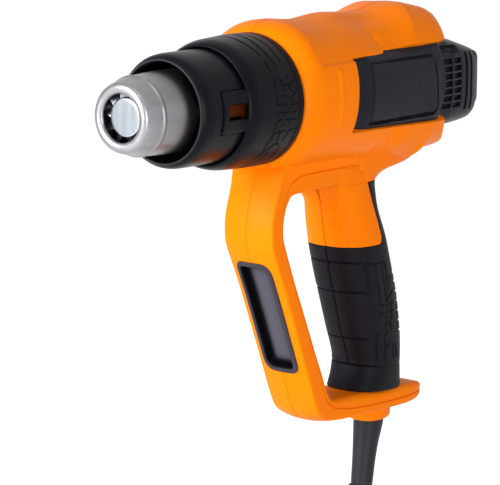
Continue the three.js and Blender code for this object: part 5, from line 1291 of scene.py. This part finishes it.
GRIP_CUT, RIM_CUT = 0.75, 0.5
SPINE_RIM = 0.06  # share of the round over which the spine's edge is rounded
DROP_START, DROP_LENGTH = -118.0, 32.2  # where the sleeve starts to slope down to the back


def fall(x):
    """Drop of the sleeve's lower end with x: it slopes down towards the back."""
    return -0.07 * (x - 175)


def grip_half(side):
    """Rubber from the spine's tip to the sleeve's end. The start angle is the spine's edge
    above the sleeve's top and the front below it."""
    z = np.concatenate([[-49.65, -49.8, -50.2], np.arange(-50.8, -83, -0.6),
                        [-83.2, -83.42, -83.5, -83.75, -84.2], np.arange(-84.6, -149.9, -0.36),
                        [-150.05, -150.2]])[:, None]
    start = np.where(z > GRIP_TOP + 0.05, spine_angle(z), MIDDLE_GAP)
    t = np.linspace(0, 1, 190)[None]
    angle = start + (pi - MIDDLE_GAP - start) * t
    low = np.clip((DROP_START - z) / DROP_LENGTH, 0, 1)
    x, y = handle(z, angle)
    drop = low * fall(x)
    nx, ny = np.gradient(y, axis=1), -np.gradient(x, axis=1)
    length = np.hypot(nx, ny) + 1e-9
    nx, ny = -nx / length, -ny / length
    flip = np.sign((nx * (x - x.mean(1, keepdims=True)) + ny * y).mean(1, keepdims=True))
    nx, ny = nx * flip, ny * flip
    zz = z + drop
    cut = np.maximum(groove(away(x, zz, strokes(GRIP_RINGS)), 0.25),
                     groove(away(x, zz, strokes(GRIP_TREAD)), 0.42))
    cut = GRIP_CUT * cut * (z < -84.5)
    cut += seam_cut(y, 0.4, 0.1, 0.7)
    sleeve_edge = np.minimum(GRIP_TOP - z + 0.1, z - SLEEVE_BOTTOM)
    edge = np.where(z > GRIP_TOP, np.abs(z - SPINE_TOP), sleeve_edge)
    cut += RIM_CUT * (1 - np.clip(edge / 0.8, 0, 1)) ** 2
    spine = (z > GRIP_TOP) & (t < SPINE_RIM)
    cut += np.where(spine, RIM_CUT * (1 - t / SPINE_RIM) ** 2, 0)
    ox, oy = x - nx * cut, y - ny * cut
    ix, iy = handle(z, angle, RUBBER_THICKNESS)
    return wall_skin((ox, np.maximum(oy, 0), zz), (ix, np.maximum(iy, 0), zz), side, SEAM)


# The rubber is soft to the touch, matt and faintly violet, and worn smoother in patches.
soft_black = two_tone("soft rubber", (0.0050, 0.0042, 0.0062), (0.0090, 0.0078, 0.0108), (45, 4),
                      (3000, 2), (0.40, 0.22), 0.00003, 0.6, Specular_IOR_Level=0.07)
for name, side in SIDES:
    rubber = new_piece("rubber_" + name, [grip_half(side)], 50)
    dress(rubber, soft_black, nodes=["grip_" + name])

# Skirt: a separate ring of hard black plastic below the rubber sleeve. It is slipped over the
# handle and flares down to the foot.
SKIRT_RINGS = [  # height, growth over the handle, shift in x
    (-149.4, -1.2, 0.0), (-150.4, -1.1, 0.0), (-150.5, 0.0, 0.0), (-150.9, 0.25, -0.1),
    (-153.4, 0.9, -0.4), (-157, 2.0, -1.0), (-160.2, 3.3, -1.8), (-162.1, 4.1, -2.3),
    (-163.1, 4.5, -2.6), (-163.5, 4.4, -2.6), (-163.85, 3.7, -2.6), (-163.9, 2.2, -2.3)]
skirt_angle = np.arange(0, 2 * pi, 2 * pi / 160)[None]
skirt_rows = line_through(SKIRT_RINGS, 40)
skirt_z = skirt_rows[:, 0:1]
c, s = np.cos(skirt_angle), np.sin(skirt_angle)
middle, front, back, half = handle_size(skirt_z)
grown = skirt_rows[:, 1:2]
skirt_x = (middle + skirt_rows[:, 2:3]
           - (np.where(c > 0, front, back) + grown) * boxy(c, HANDLE_POWER))
skirt_y = (half + 0.1 * grown) * boxy(s, HANDLE_POWER)
skirt_x = skirt_x + 0.45 * np.sign(c) * groove(np.abs(skirt_y), 0.2, 0.45) * (grown > -0.1)
skirt_loops = np.stack([skirt_x, skirt_y, skirt_z + fall(skirt_x)], -1)
skirt = new_piece("flared_skirt", [skin_of(skirt_loops)], 40)
skirt_black = dark_plastic("skirt moulding", (0.0055, 0.0052, 0.0075), 2600.0, 0.5)
dress(skirt, skirt_black, nodes=["grip_skirt"])

# Inlay: an oblong black tray let into the front of the guard bar, with a thick rounded rim.
# Its loops run from the rim's foot over the rim, down the wall and across the floor.
TRAY_TOP, TRAY_BOTTOM, TRAY_HALF = -82.6, -143.8, 10.8
TRAY_CORNERS = [4.8, 7.2, 5.4, 7.2]
BAR_HALF = 15.0
TRAY_SHEET, WALL_DEPTH = 0.9, 5.6
RIM_FOOT = 8  # the step at which the rim has come down to the wall
TRAY_STEPS = [  # distance inside the outline, height over the bar
    (0.0, -0.5), (0.0, 0.3), (0.12, 0.62), (0.45, 0.85), (0.9, 0.92), (1.5, 0.92), (2.1, 0.85),
    (2.4, 0.6), (2.55, 0.1), (2.8, -1.4), (3.2, -3.0), (3.7, -4.2), (4.2, -4.65), (5.0, -4.85),
    (7.2, -4.9)]
# Painted shade: each loop's share of the floor's colour, dark on the walls where shade falls.
TRAY_SHADE_TONES = [  # one for each loop, the three of its back first
    0.45, 0.45, 0.45, 0.45, 0.45, 0.5, 0.55, 0.5, 0.5, 0.45, 0.3, 0.05, 0, 0, 0, 0.1, 0.6, 1.0]


def bar_front():
    """Points of the bar's front line from the top down, with the outward direction of each."""
    rows = line_through(FRAME, 400)
    outer, inner = rows[:, 2:4], rows[:, 0:2]
    part = (outer[:, 1] < -70) & (outer[:, 1] > -158)
    away_from_bar = outer[part] - inner[part]
    return outer[part], away_from_bar / np.linalg.norm(away_from_bar, axis=1)[:, None]


def tray_skin():
    """Frame loops laid on the bar: a loop's height is looked up along the bar's front line,
    and its points are set off from there along the outward direction."""
    front, outward = bar_front()
    order = np.argsort(front[:, 1])
    loops = []
    for inset, height in TRAY_STEPS:
        r = [max(c - inset, 0.6) for c in TRAY_CORNERS]
        corners = box(TRAY_BOTTOM + inset, TRAY_TOP - inset, inset - TRAY_HALF, TRAY_HALF - inset)
        outline = finer(rounded(corners, r, 8), 4)
        x, nx, nz = (np.interp(outline[:, 1], front[order, 1], v[order]) for v in
                     (front[:, 0], outward[:, 0], outward[:, 1]))
        rise = height - CROWN * np.abs(outline[:, 0] / BAR_HALF) ** CROWN_POWER
        loops.append(np.stack([x + rise * nx, outline[:, 0], outline[:, 1] + rise * nz], -1))
    grid = np.array(loops)
    ahead = np.array([outward[:, 0].mean(), 0, outward[:, 1].mean()])
    back = grid[0:1] - TRAY_SHEET * ahead
    under = grid[-1:] - TRAY_SHEET * ahead
    wall = grid[RIM_FOOT:RIM_FOOT + 1] - WALL_DEPTH * ahead
    return skin_of(np.concatenate([under, wall, back, grid]))


def tray_plastic_painted_shade():
    """Grey-black satin moulding with painted shade: palest on the floor and painted darkest on the
    walls, where shade falls.
    """
    finish = Finish("tray moulding painted shade")
    tone = finish.node("ShaderNodeAttribute", {"attribute_name": "tone"}, {}, "Fac")
    spark = finish.noise(2400, 2)
    colour = finish.mix(tone, (0.0015, 0.0012, 0.002), (0.078, 0.074, 0.094))
    return finish.shade(colour, 0.45 + 0.08 * spark, spark, 0.00003, 0.5,
                        Specular_IOR_Level=0.04)


tray_shape = tray_skin()
tray = new_piece("bar_tray", [tray_shape], 45)
# painted shade: the loops' shares laid on the points as the tone attribute
tones = np.repeat(TRAY_SHADE_TONES, (len(tray_shape[0]) - 2) // len(TRAY_SHADE_TONES))
tones = np.concatenate([tones, [TRAY_SHADE_TONES[0], TRAY_SHADE_TONES[-1]]]).astype(np.float32)
tray.data.attributes.new("tone", "FLOAT", "POINT").data.foreach_set("value", tones)
dress(tray, tray_plastic_painted_shade(), nodes=["bar_inlay"])

# Switch: a black bezel pressed into the back of the handle with an orange slide knob that
# has three finger ribs. Both lean with the handle; the knob rides on its own moving body.
SWITCH_X, SWITCH_Z, SWITCH_LEAN = 194.2, -68.5, radians(21.8)
BEZEL_HALF, BEZEL_LONG, BEZEL_PROUD, BEZEL_DEEP = 6.2, 13.0, 0.5, 3.0
KNOB_HALF, KNOB_TRAVEL, KNOB_LENGTH = 3.4, 8.0, 9.0
KNOB_LOW = -(KNOB_TRAVEL + KNOB_LENGTH) / 2
KNOB_ROUND = 0.6


def leaned(out, y, up):
    """Points of the switch's own frame, turned back by its lean and set in the handle."""
    return at(SWITCH_X + out * cos(SWITCH_LEAN) - up * sin(SWITCH_LEAN), y,
              SWITCH_Z + out * sin(SWITCH_LEAN) + up * cos(SWITCH_LEAN))


def bezel_skin():
    """Plate with a slot: loops run from the outer foot over the rounded rim into the slot."""
    steps = [(0, -BEZEL_DEEP, 0), (0, BEZEL_PROUD - 0.5, 0), (0.15, BEZEL_PROUD - 0.15, 0),
             (0.5, BEZEL_PROUD, 0), (0.9, BEZEL_PROUD, 1), (0.35, BEZEL_PROUD, 1),
             (0.1, BEZEL_PROUD - 0.25, 1), (0.0, BEZEL_PROUD - 0.6, 1), (0.0, -BEZEL_DEEP, 1)]
    loops = []
    for inset, height, inner in steps:
        half, tall, corner = BEZEL_HALF - inset, BEZEL_LONG - inset, 2.2
        if inner:
            half, tall, corner = KNOB_HALF + 0.3 + inset, 0.3 - KNOB_LOW + inset, 1.0
        line = rounded(box(-tall, tall, -half, half), corner, 6)
        loops.append(leaned(height, line[:, 0], line[:, 1]))
    return surface(np.array(loops), "ring")


def knob_skin():
    """Slide knob swept along its travel: its height follows three rounded ribs on a low
    ramp at both ends, and its long edges are rounded."""
    up = np.linspace(0, KNOB_LENGTH, 73)[:, None]
    ribs = np.cos((up / KNOB_LENGTH - 0.5) * 3 * 2 * pi)
    end = np.minimum(np.minimum(up, KNOB_LENGTH - up) / 0.9, 1)
    top = 1.1 + 0.75 * ribs * end - 0.8 * (1 - end) ** 2
    turn = np.linspace(0, pi / 2, 6)[None]
    across, rise = KNOB_ROUND * np.cos(turn), KNOB_ROUND * np.sin(turn)
    y = np.concatenate([KNOB_HALF - KNOB_ROUND + across, -KNOB_HALF + KNOB_ROUND - rise,
                        [[-KNOB_HALF, KNOB_HALF]]], axis=1)
    lift = np.concatenate([-KNOB_ROUND + rise, -KNOB_ROUND + across], axis=1)
    height = np.concatenate([top + lift, -BEZEL_DEEP + 0 * up, -BEZEL_DEEP + 0 * up], axis=1)
    return surface(leaned(height, y, KNOB_LOW + up))


bezel = new_piece("switch_frame", [bezel_skin()], 40)
switch_black = dark_plastic("switch moulding", (0.006, 0.006, 0.008), 2200.0, 0.3)
dress(bezel, switch_black, nodes=["switch_bezel"])
knob = new_piece("slide_knob", [knob_skin()], 40)
dress(knob, orange, "switch", nodes=["switch_slider"])

# Housing screws: six zinc-plated pan heads deep in round wells of the right shell, each with a
# cross recess for the driver.
SCREW_SEATS = [  # x, z, distance from the middle plane
    (100.4, -63, 10.5), (137, -161, 10.5), (121, 30, 14), (190, 31.5, 13), (208, -38, 8),
    (217, -170.6, 11)]
HEAD_RADIUS, HEAD_HEIGHT, SHANK_RADIUS, SHANK_END = 3.2, 2.2, 1.5, -8.0
CROSS_REACH, CROSS_DEPTH = 2.1, 1.3


def screw_skin(x, z, seat):
    """Turned pan head on its shank. The crown's rings dip inside a cross, whose depth falls
    off with the distance from the nearer arm."""
    angle = circle(96)
    crown = np.linspace(0.02, 1, 26)[:, None] * (HEAD_RADIUS - 0.25)
    px, pz = crown * np.cos(angle), crown * np.sin(angle)
    arm = np.minimum(np.abs(px) + 9 * np.clip(np.abs(pz) - CROSS_REACH, 0, 1),
                     np.abs(pz) + 9 * np.clip(np.abs(px) - CROSS_REACH, 0, 1))
    recess = CROSS_DEPTH * (1 - smooth(arm, 0.38, 0.6)) * (1 - 0.45 * crown / CROSS_REACH)
    dome = HEAD_HEIGHT - 0.55 * (crown / HEAD_RADIUS) ** 2.4 - recess
    rim = [(HEAD_RADIUS - 0.08, HEAD_HEIGHT - 0.72), (HEAD_RADIUS, HEAD_HEIGHT - 1.0),
           (HEAD_RADIUS, 0.35), (HEAD_RADIUS - 0.1, 0.3), (SHANK_RADIUS, 0.3)]
    rim += [(SHANK_RADIUS, SHANK_END - seat), (0.9, SHANK_END - seat - 0.6)]
    r, high = (np.array(rim)[:, k:k + 1] for k in (0, 1))
    xs = np.concatenate([px, r * np.cos(angle)])
    zs = np.concatenate([pz, r * np.sin(angle)])
    ys = np.concatenate([seat + dome, seat + high + 0 * angle])
    return surface(at(x + xs, ys, z + zs))


# Bright zinc is a cold grey that turns faintly blue and yellow, with fine rolling marks.
zinc = two_tone("zinc plate", (0.50, 0.52, 0.56), (0.62, 0.60, 0.50), (160, 3), (2400, 2),
                (0.22, 0.2), 0.00002, 0.5, Metallic=1.0)
for number, (x, z, seat) in enumerate(SCREW_SEATS, 1):
    head = new_piece(f"pan_screw_{number}", [screw_skin(x, z, seat)], 35)
    dress(head, zinc, nodes=[f"housing_screw_{number}"])

# Snout: the housing's tube inside the guard with the springy arms behind the windows of the
# collar's tongues. It lies deep in shadow, and that shade is painted into its nylon, a dark copy of
# the shells' orange.
SNOUT_PROFILE = np.array([(62, 22.4), (62.3, 24.5), (62.6, 24.7), (78, 24.7), (78, 29.9),
                          (99.3, 29.9), (99.3, 22.4)])
LATCH_ARM = np.array([(47.2, -0.6), (47.5, -0.1), (48, 0), (56, 0), (66, 0)])  # x, rise


def snout_half(side):
    """Tube in front of the shell that carries the guard and the collar."""
    x, radius = SNOUT_PROFILE.T
    angle = np.linspace(-pi / 2, pi / 2, 72)[:, None]
    return surface(at(x, side * (radius * np.cos(angle) + SEAM), radius * np.sin(angle)))


def latch_half(side):
    """Springy arm under the collar's window, curved round the nozzle."""
    x, rise = (row[:, None] for row in LATCH_ARM.T)
    outline = rounded(box(22.6, 24.6, -2.8, 2.8), 0.5, 4)
    z, r = outline[None, :, 0] * (1 + 0.05 * rise), outline[None, :, 1] + rise * 0.5
    return surface(at(x, side * np.sqrt(r ** 2 - z ** 2), z + 0 * x))


# painted shade: the shells' orange made dark brown, as it looks in the shadow under the collar
shade_painted_nylon = two_tone("latch nylon painted shade", (0.050, 0.009, 0.001), (0.085, 0.016, 0.002), (30, 3),
                       (1800, 2), (0.5, 0.1), 0.00003, 0.5, Specular_IOR_Level=0.05)
for name, side in SIDES:
    latch = new_piece("latch_" + name, [latch_half(side), snout_half(side)], 30)
    dress(latch, shade_painted_nylon)

# Parts inside the tool: heater, motor, fan, duct, board, switch and clamp are the frame's own
# solids, held by the shells. Each gets the finish of its material.


def mottled(name, first, second, scale, roughness, grain, depth, metal=0.0):
    """Two tones drifting at one scale under a fine grain, for the plain parts inside."""
    finish = Finish(name)
    drift = finish.noise(scale, 4)
    fine = finish.noise(grain, 3)
    return finish.shade(finish.mix(drift, first, second), roughness + 0.15 * fine, fine, depth,
                        0.6, Metallic=metal)


def mica_sheet():
    """Mica paper: pearly brown flakes, shinier where a flake lies flat."""
    finish = Finish("mica sheet")
    flake = finish.node("ShaderNodeTexVoronoi", {}, {"Vector": finish.place, "Scale": 420.0},
                        "Distance")
    colour = finish.mix(flake, (0.34, 0.25, 0.15), (0.66, 0.58, 0.42))
    return finish.shade(colour, 0.3 + 0.25 * flake, flake, 0.00004, 0.6, Coat_Weight=0.3)


def circuit_board():
    """Green lacquered board: a faint weave under the lacquer and a grid of copper tracks."""
    finish = Finish("circuit board")
    track = finish.node("ShaderNodeTexBrick", {"offset": 0.35},
                        {"Vector": finish.place, "Scale": 260.0, "Color1": (0.01, 0.10, 0.03, 1),
                         "Color2": (0.01, 0.13, 0.04, 1), "Mortar": (0.03, 0.24, 0.07, 1)})
    weave = finish.noise(1600, 2)
    return finish.shade(track, 0.3 + 0.1 * weave, weave, 0.00003, 0.5)


INSIDE_TONES = {  # two colours, drift scale, roughness, grain scale, grain depth, metal
    "natural nylon": ((0.66, 0.63, 0.55), (0.74, 0.71, 0.62), 40, 0.4, 1800, 0.00003),
    "inner moulding": ((0.010, 0.010, 0.012), (0.018, 0.018, 0.020), 50, 0.42, 2200, 0.00003),
    "ceramic core": ((0.62, 0.58, 0.50), (0.74, 0.71, 0.65), 120, 0.6, 1500, 0.00006),
    "ferrite left": ((0.030, 0.030, 0.032), (0.060, 0.060, 0.064), 260, 0.5, 1600, 0.00005),
    "ferrite right": ((0.030, 0.030, 0.032), (0.060, 0.060, 0.064), 260, 0.5, 1600, 0.00005),
    "drawn steel": ((0.42, 0.42, 0.43), (0.56, 0.56, 0.57), 70, 0.25, 900, 0.00001, 1.0),
    "heated steel": ((0.20, 0.17, 0.15), (0.36, 0.33, 0.30), 60, 0.35, 900, 0.00002, 1.0),
    "resistance wire": ((0.16, 0.13, 0.12), (0.28, 0.24, 0.22), 200, 0.4, 2500, 0.00002, 1.0),
    "enamelled copper": ((0.50, 0.20, 0.08), (0.66, 0.30, 0.14), 300, 0.35, 1800, 0.00004, 1.0)}
finishes = {name: mottled(name, *tones) for name, tones in INSIDE_TONES.items()}
finishes["mica sheet"] = mica_sheet()
finishes["circuit board"] = circuit_board()
finishes["zinc plate"] = zinc
INSIDE_PARTS = {
    "natural nylon": ["fan_shroud", "motor_mount", "terminal_block", "cord_clamp"],
    "inner moulding": ["fan_impeller", "switch_body"], "ceramic core": ["heater_core"],
    "ferrite left": ["motor_magnet_left"], "ferrite right": ["motor_magnet_right"],
    "drawn steel": ["motor_can"], "heated steel": ["heater_holder"],
    "resistance wire": ["heater_winding"], "enamelled copper": ["motor_rotor"],
    "mica sheet": ["mica_sleeve"], "circuit board": ["rectifier_board"],
    "zinc plate": ["clamp_screw_left", "clamp_screw_right"]}
for name, parts in INSIDE_PARTS.items():
    for part in parts:
        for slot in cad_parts[part].material_slots:
            slot.material = finishes[name]

# Studio: a white floor well below the tool, a white surround, one large soft lamp before the
# nozzle, a weaker one at the left in front, a long one above and a faint one behind.
FLOOR_HEIGHT = -0.33
FLOOR_GLOW = 0.72
SHADOW_SIDE_GLOW = 0.29
floor_mesh = bpy.data.meshes.new("floor")
floor_mesh.from_pydata([(x, y, FLOOR_HEIGHT) for x, y in box(-6, 6, -6, 6)], [], [(0, 1, 2, 3)])
floor = bpy.data.objects.new("floor", floor_mesh)
bpy.context.scene.collection.objects.link(floor)
paper = Finish("floor paper")
paper.put(paper.shader, {
    "Base Color": (0.8, 0.8, 0.8, 1), "Roughness": 0.9, "Emission Color": (1, 1, 1, 1),
    "Emission Strength": paper.straight_rays() * FLOOR_GLOW})
floor_mesh.materials.append(paper.material)

room = bpy.data.worlds.new("room")
bpy.context.scene.world = room
sky = Nodes(room)
glow = sky.node("ShaderNodeMapRange", {}, {
    "Value": sky.straight_rays(), "To Min": SHADOW_SIDE_GLOW, "To Max": 1.0})
sky.put(sky.nodes["Background"], {"Color": (1, 1, 1, 1), "Strength": glow})


def soft_lamp(name, place, aim, width, height, power):
    """Rectangular area lamp at a place, turned to face its aim."""
    data = bpy.data.lights.new(name, "AREA")
    data.shape, data.size, data.size_y, data.energy = "RECTANGLE", width, height, power
    lamp = bpy.data.objects.new(name, data)
    bpy.context.scene.collection.objects.link(lamp)
    lamp.location = place
    lamp.rotation_mode = "QUATERNION"
    lamp.rotation_quaternion = (Vector(aim) - Vector(place)).to_track_quat("-Z", "Y")


bpy.context.scene.view_settings.view_transform = "Standard"
soft_lamp("key_lamp", (-1.6, 0.5, 0.5), (-0.05, 0, 0.0), 0.8, 0.9, 40)
soft_lamp("fill_lamp", (-1.0, -1.35, 0.15), (-0.02, 0, 0), 0.5, 0.9, 14)
soft_lamp("top_lamp", (-0.5, -0.4, 1.25), (-0.05, 0, 0.05), 0.8, 0.5, 2)
soft_lamp("side_lamp", (0.6, -1.2, 0.3), (0, 0, 0), 0.4, 0.9, 1)
